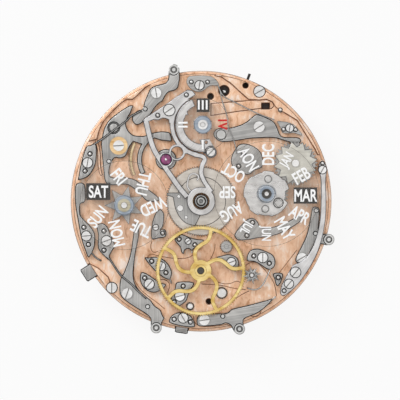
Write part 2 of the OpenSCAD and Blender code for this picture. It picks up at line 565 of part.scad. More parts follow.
module corrector_sw() color(steel) {
  lever([[-8.2, -2.9], [-8.3, -4.0], [-8.6, -6.1], [-8.95, -7.4], [-9.5, -8.8], [-9.9, -9.6], [-10.0, -11.0],
    [-9.7, -11.8], [-8.7, -12.6], [-7.6, -13.3], [-6.8, -13.8], [-6.2, -14.4], [-6.15, -15.4], [-5.8, -16.1],
    [-5.2, -16.15], [-4.85, -15.7], [-4.8, -14.9], [-4.5, -14.35], [-4.7, -14.0], [-5.0, -13.3], [-5.7, -12.8],
    [-6.2, -12.1], [-7.1, -11.4], [-8.0, -10.3], [-8.3, -9.1], [-8.2, -7.7], [-8.0, -6.2], [-7.65, -4.4],
    [-7.6, -2.9], [-7.9, -2.7]], sw_pivot, [[-6.55, -12.9]]);
  ear([-5.5, -15.5], 0.58);
}

module corrector_s() color(steel) {
  lever([[-0.55, -14.6], [-0.4, -15.2], [0.3, -15.35], [2.4, -15.15], [3.0, -14.95], [3.6, -15.2], [4.0, -15.9],
    [4.4, -16.25], [5.0, -16.2], [5.35, -15.7], [5.2, -15.0], [5.3, -14.4], [6.4, -13.95], [7.1, -13.6],
    [8.1, -12.8], [9.0, -11.85], [9.15, -11.7], [8.6, -11.95], [7.4, -12.3], [5.5, -12.8], [3.8, -13.2],
    [3.2, -13.65], [1.5, -13.75], [0.4, -13.65], [-0.3, -13.95]], s_pivot, [[2.65, -14.1]]);
  ear([4.7, -15.65], 0.58);
}

lever_ring_r = [2.95, 3.56];

// Grand lever: its beak reads the date cam and its arms move the calendar once a day
module calendar_lever() color(steel) {
  difference() {
    flat(concat(smooth_line([[-8.3, 11.7], [-8.7, 11.75], [-9.5, 11.3], [-10.5, 10.6], [-11.3, 9.9],
      [-11.85, 9.0], [-12.1, 8.0], [-12.25, 7.0], [-12.1, 5.3], [-11.95, 3.7], [-11.75, 2.4], [-11.0, 1.95],
      [-9.2, 2.05], [-8.2, 1.5], [-7.5, 0.9], [-6.6, 0.0], [-5.3, 0.0], [-5.2, 0.45], [-6.5, 1.5], [-8.0, 2.6],
      [-9.5, 2.95], [-11.1, 3.0], [-11.15, 4.3], [-10.6, 5.3], [-9.9, 5.25], [-9.2, 5.6], [-8.8, 6.6],
      [-8.3, 7.3]], 3),
      arc(jewel_c, lever_ring_r[1], 148, 212), arc(jewel_c, lever_ring_r[0], 212, 118, 10),
      smooth_line([[-4.9, 7.45], [-4.0, 7.35], [-3.6, 7.4], [-3.75, 8.3], [-4.2, 8.5], [-5.0, 8.55],
      [-6.0, 8.35], [-7.0, 8.0], [-7.7, 8.0], [-8.4, 8.15], [-8.95, 8.7], [-9.2, 9.4], [-9.0, 10.2],
      [-8.6, 10.9]], 3)), lever_z, lever_t);
    disc(calendar_pivot, shoulder_r + play, 0, 4);
    disc([-10.7, 9.0], 0.68, lever_top - 0.2, 1);
  }
  disc([-11.3, 4.9], pin_r, lever_top, 0.3);
  disc([-10.7, 9.0], 0.62, lever_top - 0.2, 0.2);
}

// Toothed sector on the grand lever
module rack_sector() color(gold) flat(concat(arc(jewel_c, 4.15, 206, 152, 12),
  [for (i = [0:26]) for (c = [[0, 4.45], [0.5, 4.45], [0.5, 4.68], [0.9, 4.68]])
    jewel_c + polar(c[1], 152 + 2 * (i + c[0]))], [jewel_c + polar(4.45, 206)]), lever_top, 0.15);

module month_lever() color(steel) {
  lever([[2.6, 9.0], [3.4, 9.0], [4.0, 9.1], [4.8, 9.35], [5.6, 9.75], [6.3, 10.35], [6.9, 10.65], [8.0, 10.25],
    [8.9, 9.75], [9.3, 9.1], [9.8, 8.0], [10.8, 7.85], [11.9, 7.8], [12.25, 7.4], [11.8, 6.95], [10.9, 7.2],
    [9.9, 7.5], [9.0, 7.75], [7.4, 7.75], [5.9, 7.65], [4.3, 7.4], [3.0, 7.25], [2.1, 7.4], [1.5, 8.1],
    [1.8, 8.8]], month_pivot);
  disc([2.45, 8.15], 0.54, lever_top, 0.12);
}

module lever_screws() color(screw_white) {
  for (p = pivot_list) {
    z = lever_top + lift + (p == calendar_pivot ? washer_t : 0);
    screw(p, z, flange_t + 0.1);
    ring(p, shoulder_r, shank_r(p), floor_z, z - floor_z);
  }
  color(gold) ring(calendar_pivot, 1.1, shoulder_r, lever_top + lift, washer_t);
}

// Posts: [x, y, radius, height of the top]
post_list = [[day_c[0], day_c[1], 0.42, 3.35], [month_c[0], month_c[1], 0.32, 3.35],
  [leap_c[0], leap_c[1], 0.32, 3.35], [moon_c[0], moon_c[1], 0.42, 2.75],
  [month_star_c[0], month_star_c[1], 0.3, 2.4], [moon_star_c[0], moon_star_c[1], 0.25, 2.75]];

module disc_posts() color(screw_white) {
  for (p = post_list) pin(p, flange_t + 0.1, p[3], p[2]);
  disc(month_star_c, 0.44, 2.28, 0.12);
  disc(minute_c, 0.2, -0.75, 1.2);
  for (p = [day_c, month_c, leap_c]) ring(p, p == day_c ? 0.8 : 0.6, p == day_c ? 0.42 : 0.32,
    collar_z + collar_t + lift, 0.1);
}

// Discs of the calendar: a clear disc held by a blue-grey collar on a steel hub

module collar(c, r, bore, z) turned(c, [[bore, z], [bore + 0.35, z], [bore + 0.35, collar_z], [r, collar_z],
  [r, collar_z + collar_t - 0.05], [r - 0.05, collar_z + collar_t], [bore, collar_z + collar_t]]);

module clear_ring(c, r, bore) color(clear_disc) ring(c, r, bore + 0.35, disc_z, disc_t);

module star_wheel(c, n, r, waist, turn, z, t, bore) difference() {
  at(c, z) linear_extrude(t) polygon(star(n, r, waist, turn));
  disc(c, bore, z - 1, t + 2);
}

module gear_wheel(c, n, r, turn, z, t, bore) difference() {
  at(c, z) linear_extrude(t) polygon(gear(n, r, turn));
  disc(c, bore, z - 1, t + 2);
}

post_bore = 0.35;
day_bore = 0.45;

module day_star() {
  color(steel) star_wheel(day_c, 7, 2.45, 1.25, 232, star_z, star_t, day_bore);
  color("#9fb0c0") collar(day_c, 1.23, day_bore, star_z + star_t);
}

module day_disc() clear_ring(day_c, day_r, day_bore);

month_gear_n = 36;
month_gear_r = norm(month_star_c - month_c) / 2;
cam_r = 2.83;
cam_z = 2.2;
cam_top = disc_z - 0.25;
// How far the cam dips at each month's step, from the one at 3 o'clock
cam_dips = [0.5, 0, 0.16, 0, 0.16, 0, 0, 0.16, 0, 0.16, 0, 0];

// Twelve-step month cam, screwed on its gear
module month_cam() {
  color(steel) {
    gear_wheel(month_c, month_gear_n, month_gear_r, heading(month_c, month_star_c), star_z, star_t, post_bore);
    ring(month_c, 1.4, post_bore, star_z + star_t, cam_z - star_z - star_t);
    difference() {
      flat([for (i = [0:11]) for (j = [0:3]) month_c + polar(cam_r - cam_dips[i], -20 + 30 * i + 2 + j * 8.5)],
        cam_z, cam_top - cam_z);
      disc(month_c, post_bore, 0, 4);
      for (p = [[8.2, 2.7], [7.85, -0.95]]) disc(p, 0.44, cam_top - 0.1, 1);
      disc(satellite_c, 0.6, cam_top - 0.18, 1);
      disc(satellite_c, 0.15 + play, 0, 4);
    }
  }
  color("#9fb0c0") collar(month_c, 1.1, post_bore, cam_top);
  color(screw_white) for (p = [[8.2, 2.7], [7.85, -0.95]]) disc(p, 0.41, cam_top - 0.1, 0.08);
}

module month_disc() clear_ring(month_c, month_r, post_bore);

// Four-lobed wheel on the month cam, which tells leap years from common ones
module year_satellite() color(steel) {
  at(satellite_c, cam_top - 0.14) linear_extrude(0.2) polygon(star(4, 0.56, 0.4));
  disc(satellite_c, 0.15, cam_z - 0.1, cam_top - 0.14 - cam_z + 0.1);
  disc(satellite_c, 0.26, cam_z - 0.15, 0.1);
}

module month_star() {
  color(steel) gear_wheel(month_star_c, month_gear_n, month_gear_r,
    heading(month_star_c, month_c) + 180 / month_gear_n, star_z, star_t, 0.33);
  color("#d8d6cc") star_wheel(month_star_c, 12, 2.7, 2.0, 9.7, star_z + star_t, 0.19, 0.33);
}

module leap_star() {
  color(steel) star_wheel(leap_c, 8, 1.25, 0.8, 22.5, star_z, star_t, post_bore);
  color("#9fb0c0") collar(leap_c, 1.1, post_bore, star_z + star_t);
}

module leap_disc() clear_ring(leap_c, leap_r, post_bore);

// Moon drive: a gold wheel that turns once in 59 days and an eight-pointed daily star

moon_gap = norm(moon_star_c - moon_c);
moon_wheel_r = moon_gap * moon_teeth / (moon_teeth + moon_leaves);
moon_pinion_r = moon_gap - moon_wheel_r;
moon_rim_r = 5.05;
moon_hub_r = 1.33;

// One S-shaped spoke, from the hub at angle a to the rim
module moon_spoke(a) flat(strip(smooth_line([for (s = [[1.2, 6], [1.5, 5], [2.2, -1], [2.75, -10],
  [3.2, -22], [3.6, -31], [4.2, -35], [5.2, -34]]) moon_c + polar(s[0], a + s[1])], 3), 0.48), moon_z, moon_t);

module moon_wheel() color(gold) difference() {
  union() {
    difference() {
      at(moon_c, moon_z) linear_extrude(moon_t)
        polygon(gear(moon_teeth, moon_wheel_r, heading(moon_c, moon_star_c)));
      disc(moon_c, moon_rim_r, moon_z - 1, 3);
    }
    for (i = [0:4]) moon_spoke(110 + 72 * i);
    disc(moon_c, moon_hub_r, moon_z, moon_t);
    disc(moon_c, 0.7, moon_z, moon_t + 0.1);
  }
  disc(moon_c, 0.45, 0, 4);
}

module moon_star() color(steel) {
  moon_star_z = moon_z + moon_t + lift;
  star_wheel(moon_star_c, 8, 1.15, 0.46, 10, moon_star_z, 0.15, 0.28);
  ring(moon_star_c, 0.42, 0.28, moon_z + moon_t, lift);
  gear_wheel(moon_star_c, moon_leaves, moon_pinion_r,
    heading(moon_star_c, moon_c) + 180 / moon_leaves, moon_z, moon_t, 0.28);
  ring(moon_star_c, 0.5, 0.28, star_z, moon_z - star_z);
}

// Date wheel, three fine teeth to a day, with the snail cam that the grand lever reads
module date_wheel() {
  color("#c9c6bd") difference() {
    flat(gear(93, 4.25), lever_z, 0.2);
    disc([0, 0], 1.2 + play, 0, 3);
  }
  color("#d8d3cc") difference() {
    disc([0, 0], 3.0, lever_z + 0.2, 0.08);
    disc([0, 0], 1.2 + play, 0, 3);
  }
  color(steel) difference() {
    flat(concat(smooth_line([[-1.9, 1.0], [-4.0, 1.0], [-4.1, 0.75], [-3.45, 0.5], [-3.35, 0.1], [-3.1, -1.0],
      [-2.57, -2.0], [-1.8, -2.7], [-0.75, -3.0]]), arc([0, 0], 1.5, 270, 150, 6)), lever_z + 0.2, lever_t - 0.2);
    disc([0, 0], 1.2 + play, 0, 3);
  }
  color(screw_white) for (p = [[-2.57, -0.85, 0.36], [-2.74, 0.58, 0.18], [-1.84, -1.97, 0.18]])
    disc(p, p[2], lever_top, 0.1);
}

// Motion work under the calendar plate: cannon pinion, minute wheel and hour wheel

centre_arbor_r = 0.28;
cannon_n = 14;
minute_n = 42;
minute_pinion_n = 12;
hour_n = 48;
motion_gap = norm(minute_c);
cannon_r = motion_gap * cannon_n / (cannon_n + minute_n);
minute_pinion_r = motion_gap * minute_pinion_n / (minute_pinion_n + hour_n);
motion_z = flange_t - motion_recess + 0.06;
hour_z = motion_z + 0.36;
pipe_top = [3.5, 4.2];
// Each hand is pressed on the pipe above a relief groove: [bottom, top, radius]
hour_groove = [2.0, 2.6, 0.62];
minute_groove = [3.18, 3.75, 0.33];

module pipe(r, z, top, groove) {
  disc([0, 0], r, z, groove[0] - z);
  disc([0, 0], groove[2], z, top - z);
  disc([0, 0], r, groove[1], top - groove[1]);
}

module cannon_pinion() color(steel) difference() {
  union() {
    at([0, 0], motion_z) linear_extrude(0.3) polygon(gear(cannon_n, cannon_r, heading([0, 0], minute_c)));
    pipe(minute_pipe_r, motion_z, pipe_top[1], minute_groove);
  }
  disc([0, 0], centre_arbor_r, -1, 4);
  disc([0, 0], 0.2, 0, 6);
}

module minute_wheel() {
  color(gold) gear_wheel(minute_c, minute_n, motion_gap - cannon_r, heading(minute_c, [0, 0]) + 180 / minute_n,
    motion_z + 0.05, 0.2, 0.23);
  color(steel) gear_wheel(minute_c, minute_pinion_n, minute_pinion_r, heading(minute_c, [0, 0]),
    motion_z + 0.25, 0.35, 0.23);
}

module hour_wheel() color(gold) difference() {
  union() {
    at([0, 0], hour_z) linear_extrude(0.2)
      polygon(gear(hour_n, motion_gap - minute_pinion_r, heading([0, 0], minute_c) + 180 / hour_n));
    pipe(hour_pipe_r, hour_z, pipe_top[0], hour_groove);
  }
  disc([0, 0], minute_pipe_r + play, 0, 6);
}

// Going train, on the back. Each pair's centre distance follows from its teeth.

pivot_r = 0.12;
plate_back = -plate_depth;
bridge_back = -3.8;
bridge_face = -2.7;
barrel_c = polar(5.85, 50);
third_c = polar(4.5, 200);
fourth_c = third_c + polar(3.825, 255);
escape_c = fourth_c + polar(3.08, 320);
pallet_c = escape_c + polar(2.31, 340);
balance_c = pallet_c + polar(3.4, 340);
crown_c = [barrel_c[0] + sqrt(5.07 * 5.07 - barrel_c[1] * barrel_c[1]), 0];
train_pivots = [third_c, fourth_c, escape_c, pallet_c, balance_c];

// Bridge screws: [x, y, head radius, slot angle]
barrel_bridge_screws = [[12.2, 4.6, 0.85, 20], [1.2, 12.6, 0.85, 60], [11.9, -5.2, 0.85, 110]];
train_bridge_screws = [[-11.9, 4.6, 0.85, 75], [-10.9, -7.2, 0.85, 15], [-3.9, 6.6, 0.85, 130]];
cock_screw = [[8.9, -9.3, 0.9, 40]];
pallet_screws = [[0.2, -5.4, 0.36, 0], [-1.2, -10.3, 0.36, 80]];
back_screws = concat(barrel_bridge_screws, train_bridge_screws, cock_screw, pallet_screws);

module arbor(c, z0 = -3.5, z1 = -1.1) {
  disc(c, pivot_r, z0, z1 - z0);
  disc(c, 0.24, -2.62, 1.15);
}

module toothed(c, n, r, turn, z, t) at(c, z) linear_extrude(t) polygon(gear(n, r, turn));

// A spoked brass wheel on a steel arbor with its pinion
module train_wheel(c, n, r, turn, z, pinion_n, pinion_r, pinion_turn, pinion_z, pinion_t) {
  color(gold) difference() {
    toothed(c, n, r, turn, z, 0.16);
    spoke_windows(c, 0.75, r - 0.55, 5, 0.35, z - 0.1, 0.4, turn);
    disc(c, 0.24, z - 1, 2);
  }
  color(steel) {
    difference() {
      toothed(c, pinion_n, pinion_r, pinion_turn, pinion_z, pinion_t);
      disc(c, 0.24, pinion_z - 1, 3);
    }
    arbor(c);
  }
}

centre_turn = heading([0, 0], third_c);
third_turn = heading(third_c, fourth_c);
fourth_turn = heading(fourth_c, escape_c);

module barrel() color(gold) difference() {
  union() {
    toothed(barrel_c, 80, 5.2, heading(barrel_c, [0, 0]), -1.75, 0.28);
    disc(barrel_c, 4.85, -2.15, 0.68);
  }
  disc(barrel_c, 4.6, -2.03, 0.44);
  disc(barrel_c, 0.65, -3, 3);
}

// Mainspring: one steel strip wound in the barrel
module mainspring() color("#8a8f96") flat(strip([for (i = [0:9 * 24]) barrel_c + polar(0.8 + 3.5 * i / (9 * 24),
  i * 15)], 0.12), -1.98, 0.34);

module centre_wheel() {
  color(gold) difference() {
    toothed([0, 0], 80, 4.0, centre_turn, -2.42, 0.17);
    spoke_windows([0, 0], 0.9, 3.4, 5, 0.4, -2.6, 0.6, centre_turn);
    disc([0, 0], centre_arbor_r, -3, 2);
  }
  color(steel) {
    difference() {
      toothed([0, 0], 10, 0.65, heading([0, 0], barrel_c) + 18, -1.8, 0.35);
      disc([0, 0], centre_arbor_r, -3, 3);
    }
    disc([0, 0], centre_arbor_r, -2.62, 5.6);
    disc([0, 0], 0.2, -3.5, 0.88);
  }
}

module third_wheel() train_wheel(third_c, 75, 3.375, third_turn, -1.92, 10, 0.5,
  heading(third_c, [0, 0]) + 18, -2.5, 0.32);

module fourth_wheel() train_wheel(fourth_c, 70, 2.8, fourth_turn, -2.42, 10, 0.45,
  heading(fourth_c, third_c) + 18, -1.98, 0.3);

escape_n = 15;
escape_r = 2.0;

module escape_wheel() {
  color(steel) difference() {
    flat([for (i = [0:escape_n - 1]) for (p = [[escape_r, 0], [escape_r - 0.06, 3], [escape_r - 0.42, 5],
      [escape_r - 0.42, 17]]) escape_c + polar(p[0], (i * 24) + p[1] + 4)], -1.88, 0.14);
    spoke_windows(escape_c, 0.5, escape_r - 0.65, 5, 0.22, -2, 0.4, 10);
    disc(escape_c, 0.24, -3, 3);
  }
  color(steel) {
    difference() {
      toothed(escape_c, 7, 0.28, heading(escape_c, fourth_c) + 180 / 7, -2.5, 0.32);
      disc(escape_c, 0.12, -3, 3);
    }
    disc(escape_c, pivot_r, -3.5, 2.4);
    disc(escape_c, 0.24, -2.1, 0.63);
  }
}

// Pallet fork with its two ruby pallets; the arms reach round the escape wheel
module pallet_fork() {
  a = heading(pallet_c, balance_c);
  color(steel) at(pallet_c) rotate(a) {
    difference() {
      translate([0, 0, -1.86]) linear_extrude(0.12) polygon([[-0.9, 1.8], [-0.72, 1.42], [-0.25, 0.75],
        [-0.2, 0.3], [-0.26, 0], [-0.2, -0.3], [-0.25, -0.75], [-0.72, -1.42], [-0.9, -1.8], [-0.55, -1.85],
        [0.15, -0.75], [0.25, -0.2], [2.7, -0.1], [2.75, -0.3], [3.1, -0.22], [3.1, -0.1], [2.85, 0],
        [3.1, 0.1], [3.1, 0.22], [2.75, 0.3], [2.7, 0.1], [0.25, 0.2], [0.15, 0.75], [-0.55, 1.85]]);
      translate([0, 0, -3]) cylinder(r = pivot_r, h = 3);
    }
  }
  color(steel) {
    disc(pallet_c, pivot_r, -2.18, 1.05);
    ring(pallet_c, 0.26, pivot_r, -1.74, 0.25);
  }
}

balance_z = -2.6;

module balance() {
  color(gold) difference() {
    union() {
      ring(balance_c, balance_r, balance_r - 0.4, balance_z, 0.32);
      ring(balance_c, 0.6, 0.12, balance_z, 0.2);
      difference() {
        at(balance_c, balance_z) rotate(heading(balance_c, [0, 0])) translate([-balance_r + 0.2, -0.22, 0])
          cube([2 * balance_r - 0.4, 0.44, 0.2]);
        disc(balance_c, 0.59, -3, 2);
      }
    }
    disc(balance_c, 0.12, -4, 4);
  }
  color(gold) for (i = [0:11]) at(balance_c, balance_z + 0.16) rotate(i * 30 + 15)
    translate([balance_r - 0.1, 0, 0]) rotate([0, 90, 0]) cylinder(r = 0.14, h = 0.32, $fn = 24);
  color(steel) {
    disc(balance_c, 0.12, -3.6, 2.45);
    ring(balance_c, 0.42, 0.12, -2.1, 0.1);
    ring(balance_c, 0.4, 0.12, -2.86, 0.24);
  }
}

// Balance spring: one strip from the collet out to its stud
module hairspring() color("#5a6f9a") flat(strip([for (i = [0:hairspring_turns * 24])
  balance_c + polar(0.52 + 2.2 * i / (hairspring_turns * 24), i * 15 - 6)], 0.05), -2.86, 0.16);

module bridge_plate(outline, pads, wells, pivots) difference() {
  union() {
    flat(smooth(outline, 4), bridge_back, bridge_face - bridge_back);
    for (p = pads) disc(p, 1.3, bridge_face, plate_back - bridge_face);
  }
  for (p = pads) {
    disc(p, shank_r(p) + play, -4, 4);
    disc(p, p[2] + 0.06, bridge_back - 1, 1 + head_t + 0.04);
  }
  for (w = wells) disc([w[0], w[1]], w[2], w[3], 5);
  for (w = wells) disc([w[0], w[1]], w[2], bridge_back - 1, 0.5);
  for (p = pivots) disc(p, jewel_set_r, -4, 4);
}

jewel_set_r = 0.55;
jewel_r = 0.68;
ratchet_n = 48;
crown_n = 30;
ratchet_r = 5.07 * ratchet_n / (ratchet_n + crown_n);
crown_r = 5.07 - ratchet_r;
winding_well_z = bridge_back + 0.4;
winding_x = crown_c[0] + crown_r;

module barrel_bridge() color(rose_gold) difference() {
  bridge_plate(concat(arc([0, 0], 14.3, -30, 92, 16), [[-0.9, 11.5], [-0.8, 8.0], [-0.9, 4.0], [-1.2, 1.5],
    [-1.3, -0.4], [-0.4, -1.4], [1.2, -1.7], [4.0, -2.8], [7.5, -4.2], [10.5, -6.2]]),
    barrel_bridge_screws, [], [[0, 0]]);
  disc(barrel_c, ratchet_r + 0.35, bridge_back - 1, 1.4);
  disc(crown_c, crown_r + 0.3, bridge_back - 1, 1.4);
  disc(barrel_c, 0.65, -5, 5);
  disc(crown_c, 0.5, -5, 5);
  translate([keyless_slot[0][0], keyless_slot[1][0] + 0.05, -5]) cube([2.4, 3.4, 4]);
  disc(click_c, 0.3, -5, 5);
  disc(click_c, 1.0, bridge_back - 1, 1.4);
}

module train_bridge() color(rose_gold) {
  bridge_plate(concat([[-2.2, 10.6], [-2.0, 7.5], [-2.0, 4.0], [-2.3, 1.0], [-2.2, -1.8], [-1.6, -3.6],
    [-1.5, -5.6], [-1.9, -7.4], [-2.6, -8.6], [-4.2, -9.6], [-6.5, -12.2]], arc([0, 0], 14.3, 236, 128, 14),
    [[-6.2, 11.8]]), train_bridge_screws, [], [third_c, fourth_c, escape_c]);
  difference() {
    union() {
      flat(smooth([[-0.5, -5.7], [0.1, -4.9], [0.8, -5.5], [0.4, -7.0], [0.2, -8.4], [-0.4, -10.2],
        [-1.2, -11.0], [-1.9, -10.4], [-1.6, -9.2], [-1.3, -8.0], [-1.1, -6.8]]), -2.08, 0.15);
      for (s = pallet_screws) disc(s, 0.55, -2.08, plate_back + 2.08);
    }
    disc(pallet_c, pivot_r + play, -3, 2);
    for (s = pallet_screws) disc(s, shank_r(s) + play, -3, 2);
  }
}

module balance_cock() color(rose_gold) difference() {
  union() {
    flat(smooth([[2.1, -7.9], [1.2, -9.0], [1.6, -10.3], [3.0, -10.7], [5.2, -11.0], [7.0, -11.6], [8.4, -11.3],
      [10.3, -9.7], [11.1, -8.5], [10.2, -7.6], [8.2, -7.8], [5.6, -8.3], [3.8, -7.8]]),
      bridge_back, 0.7);
    disc(cock_screw[0], 1.25, bridge_back + 0.7, plate_back - bridge_back - 0.7);
    disc(balance_c + polar(2.72, -6), 0.14, bridge_back + 0.5, 0.44);
  }
  disc(cock_screw[0], shank_r(cock_screw[0]) + play, -4, 4);
  disc(cock_screw[0], cock_screw[0][2] + 0.06, bridge_back - 1, 1 + head_t + 0.04);
  disc(balance_c, jewel_set_r, -4, 4);
}

click_c = barrel_c + polar(4.15, 130);

module ratchet_wheel() color(steel) {
  difference() {
    toothed(barrel_c, ratchet_n, ratchet_r, heading(barrel_c, crown_c), winding_well_z - 0.25, 0.2);
    disc(barrel_c, 0.3, -5, 3);
  }
  disc(barrel_c, 0.6, winding_well_z - 0.05, -1.5 - winding_well_z);
  disc(barrel_c, 0.3, -1.6, 0.55);
}

module crown_wheel() color(steel) difference() {
  union() {
    toothed(crown_c, crown_n, crown_r, heading(crown_c, barrel_c) + 180 / crown_n, winding_well_z - 0.25, 0.2);
    disc(crown_c, 0.46, winding_well_z - 0.05, 0.6);
  }
  disc(crown_c, 0.2, -5, 5);
}

module click() color(steel) difference() {
  union() {
    flat(smooth([click_c + [0.5, 0.1], click_c + [0.2, 0.5], click_c + [-0.4, 0.4], click_c + [-0.5, -0.2],
      click_c + [-0.1, -0.55], click_c + [0.4, -0.75]]), winding_well_z - 0.25, 0.2);
    disc(click_c, 0.27, winding_well_z - 0.06, 0.5);
  }
  disc(click_c, 0.1, -5, 5);
}

// Winding pinion on the stem's axis, under the crown wheel
module winding_pinion() color(steel) translate([winding_x - 0.55, 0, stem_z]) rotate([0, 90, 0]) difference() {
  union() {
    intersection() {
      translate([0, 0, 0.1]) linear_extrude(0.4) polygon(gear(12, 1.15, 15));
      translate([0, 0, 0.1]) cylinder(r1 = 0.78, r2 = 1.35, h = 0.4);
    }
    translate([0, 0, 0.5]) cylinder(r = 1.0, h = 0.6);
    translate([0, 0, 1.1]) cylinder(r = 1.25, h = 0.8);
  }
  translate([0, 0, -1]) cylinder(r = 0.5, h = 5);
}

module bridge_screws() color(screw_white) {
  for (s = concat(barrel_bridge_screws, train_bridge_screws, cock_screw))
    screw(s, bridge_back + head_t + 0.02, plate_back + 0.5, -1);
  for (s = pallet_screws) screw(s, -2.09, plate_back + 0.4, -1, 0.1);
}

// Jewels: pierced ruby rings pressed into the bridges
module jewels() color(ruby) {
  for (p = [[0, 0], third_c, fourth_c, escape_c]) ring(p, jewel_set_r, p == [0, 0] ? 0.23 : 0.15, -3.3, 0.3);
  ring(balance_c, jewel_set_r, 0.15, -3.5, 0.3);
  disc(jewel_c, jewel_r, bridge_z + 0.05, bridge_t - 0.1);
}

main_plate();
calendar_plate();
dial_screws();
dial_pins();
calendar_bridge();
arc_bridge();
spring_foot_top();
spring_foot_ne();
spring_foot_sw();
spring_foot_w();
spring_foot_nw();
moon_work_feet();
bottom_foot();
kidney_foot();
date_work_feet();
cover_plates();
window_backings();
corrector_nw();
corrector_e();
corrector_sw();
corrector_s();
calendar_lever();
rack_sector();
month_lever();
lever_screws();
disc_posts();
day_star();
day_disc();
month_cam();
month_disc();
month_star();
year_satellite();
leap_star();
leap_disc();
moon_wheel();
moon_star();
date_wheel();
hour_wheel();
minute_wheel();
cannon_pinion();
case_pusher_w();
case_pusher_s();
barrel();
mainspring();
centre_wheel();
third_wheel();
fourth_wheel();
escape_wheel();
pallet_fork();
balance();
hairspring();
barrel_bridge();
train_bridge();
balance_cock();
ratchet_wheel();
crown_wheel();
click();
winding_pinion();
bridge_screws();
jewels();
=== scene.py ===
import json
import math

import bmesh
import bpy
from mathutils import Matrix, Vector

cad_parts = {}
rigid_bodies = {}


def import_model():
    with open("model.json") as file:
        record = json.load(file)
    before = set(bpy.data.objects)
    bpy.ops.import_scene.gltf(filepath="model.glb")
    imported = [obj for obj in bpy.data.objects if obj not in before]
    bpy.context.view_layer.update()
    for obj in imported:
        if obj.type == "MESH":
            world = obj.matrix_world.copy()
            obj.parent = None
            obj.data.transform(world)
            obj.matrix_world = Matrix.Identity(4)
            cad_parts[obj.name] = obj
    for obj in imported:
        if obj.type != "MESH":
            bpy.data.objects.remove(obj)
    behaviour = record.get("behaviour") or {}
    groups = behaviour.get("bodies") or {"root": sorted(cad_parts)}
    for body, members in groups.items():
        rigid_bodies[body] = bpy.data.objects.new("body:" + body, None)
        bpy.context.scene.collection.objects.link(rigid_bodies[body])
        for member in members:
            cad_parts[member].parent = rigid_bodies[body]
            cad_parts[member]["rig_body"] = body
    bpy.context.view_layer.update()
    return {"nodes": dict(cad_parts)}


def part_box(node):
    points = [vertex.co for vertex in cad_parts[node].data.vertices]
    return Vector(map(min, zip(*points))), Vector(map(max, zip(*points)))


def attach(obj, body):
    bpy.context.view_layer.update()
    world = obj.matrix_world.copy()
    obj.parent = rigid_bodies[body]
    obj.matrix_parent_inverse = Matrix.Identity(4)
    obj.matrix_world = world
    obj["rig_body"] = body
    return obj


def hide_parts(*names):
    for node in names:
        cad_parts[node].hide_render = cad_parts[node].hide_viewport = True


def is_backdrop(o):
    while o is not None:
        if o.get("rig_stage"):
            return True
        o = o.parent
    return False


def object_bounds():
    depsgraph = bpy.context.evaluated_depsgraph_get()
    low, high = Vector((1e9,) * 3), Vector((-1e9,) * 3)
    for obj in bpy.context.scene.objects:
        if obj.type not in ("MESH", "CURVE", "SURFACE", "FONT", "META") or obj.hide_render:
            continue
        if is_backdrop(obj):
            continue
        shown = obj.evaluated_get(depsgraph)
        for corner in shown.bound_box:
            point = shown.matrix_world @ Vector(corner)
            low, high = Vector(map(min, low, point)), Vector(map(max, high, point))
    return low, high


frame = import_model()
nodes = frame["nodes"]
scene = bpy.context.scene
MM = 0.001

# View: straight down on the dial side, with 12 o'clock up.
# A long lens keeps the levels of the movement in line.
frame_width = 49.16 * MM
lens_height = 500 * MM
camera_data = bpy.data.cameras.new("camera")
camera_data.lens = 36 * lens_height / frame_width
camera_data.clip_start = 0.05
camera = bpy.data.objects.new("camera", camera_data)
camera.location = (-0.135 * MM, 0.147 * MM, lens_height)
scene.collection.objects.link(camera)
scene.camera = camera
scene.view_settings.view_transform = "Standard"


def tint(code):
    """A written colour such as "e9b48f" as a linear colour."""
    parts = [int(code[i:i + 2], 16) / 255 for i in (0, 2, 4)]
    return [p / 12.92 if p <= 0.04045 else ((p + 0.055) / 1.055) ** 2.4 for p in parts] + [1.0]


# Studio: a white table under the movement, a pale room, a soft panel overhead and two lamps.
# The table stays white to the lens and keeps a faint shadow. The panel lights the flat polished faces.
table_gap = 0.05 * MM
low, high = (Vector(corner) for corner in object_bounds())
table_mesh = bpy.data.meshes.new("table")
bm = bmesh.new()
bmesh.ops.create_grid(bm, x_segments=1, y_segments=1, size=0.4)
bmesh.ops.translate(bm, verts=bm.verts, vec=(0, 0, low.z - table_gap))
bm.to_mesh(table_mesh)
bm.free()
table = bpy.data.objects.new("table", table_mesh)
scene.collection.objects.link(table)
table_paint = bpy.data.materials.new("table_white")
table_paint.use_nodes = True
tree = table_paint.node_tree
paint = tree.nodes["Principled BSDF"]
paint.inputs["Base Color"].default_value = tint("e6e6e6")
paint.inputs["Roughness"].default_value = 0.9
glow = tree.nodes.new("ShaderNodeEmission")
path = tree.nodes.new("ShaderNodeLightPath")
share = tree.nodes.new("ShaderNodeMath")
share.operation = "MULTIPLY"
share.inputs[1].default_value = 0.88
blend = tree.nodes.new("ShaderNodeMixShader")
tree.links.new(path.outputs["Is Camera Ray"], share.inputs[0])
tree.links.new(share.outputs[0], blend.inputs["Fac"])
tree.links.new(paint.outputs[0], blend.inputs[1])
tree.links.new(glow.outputs[0], blend.inputs[2])
tree.links.new(blend.outputs[0], tree.nodes["Material Output"].inputs["Surface"])
table_mesh.materials.append(table_paint)
table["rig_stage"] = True

room = bpy.data.worlds.new("room")
room.use_nodes = True
room.node_tree.nodes["Background"].inputs["Color"].default_value = (1, 1, 1, 1)
room.node_tree.nodes["Background"].inputs["Strength"].default_value = 0.4
scene.world = room

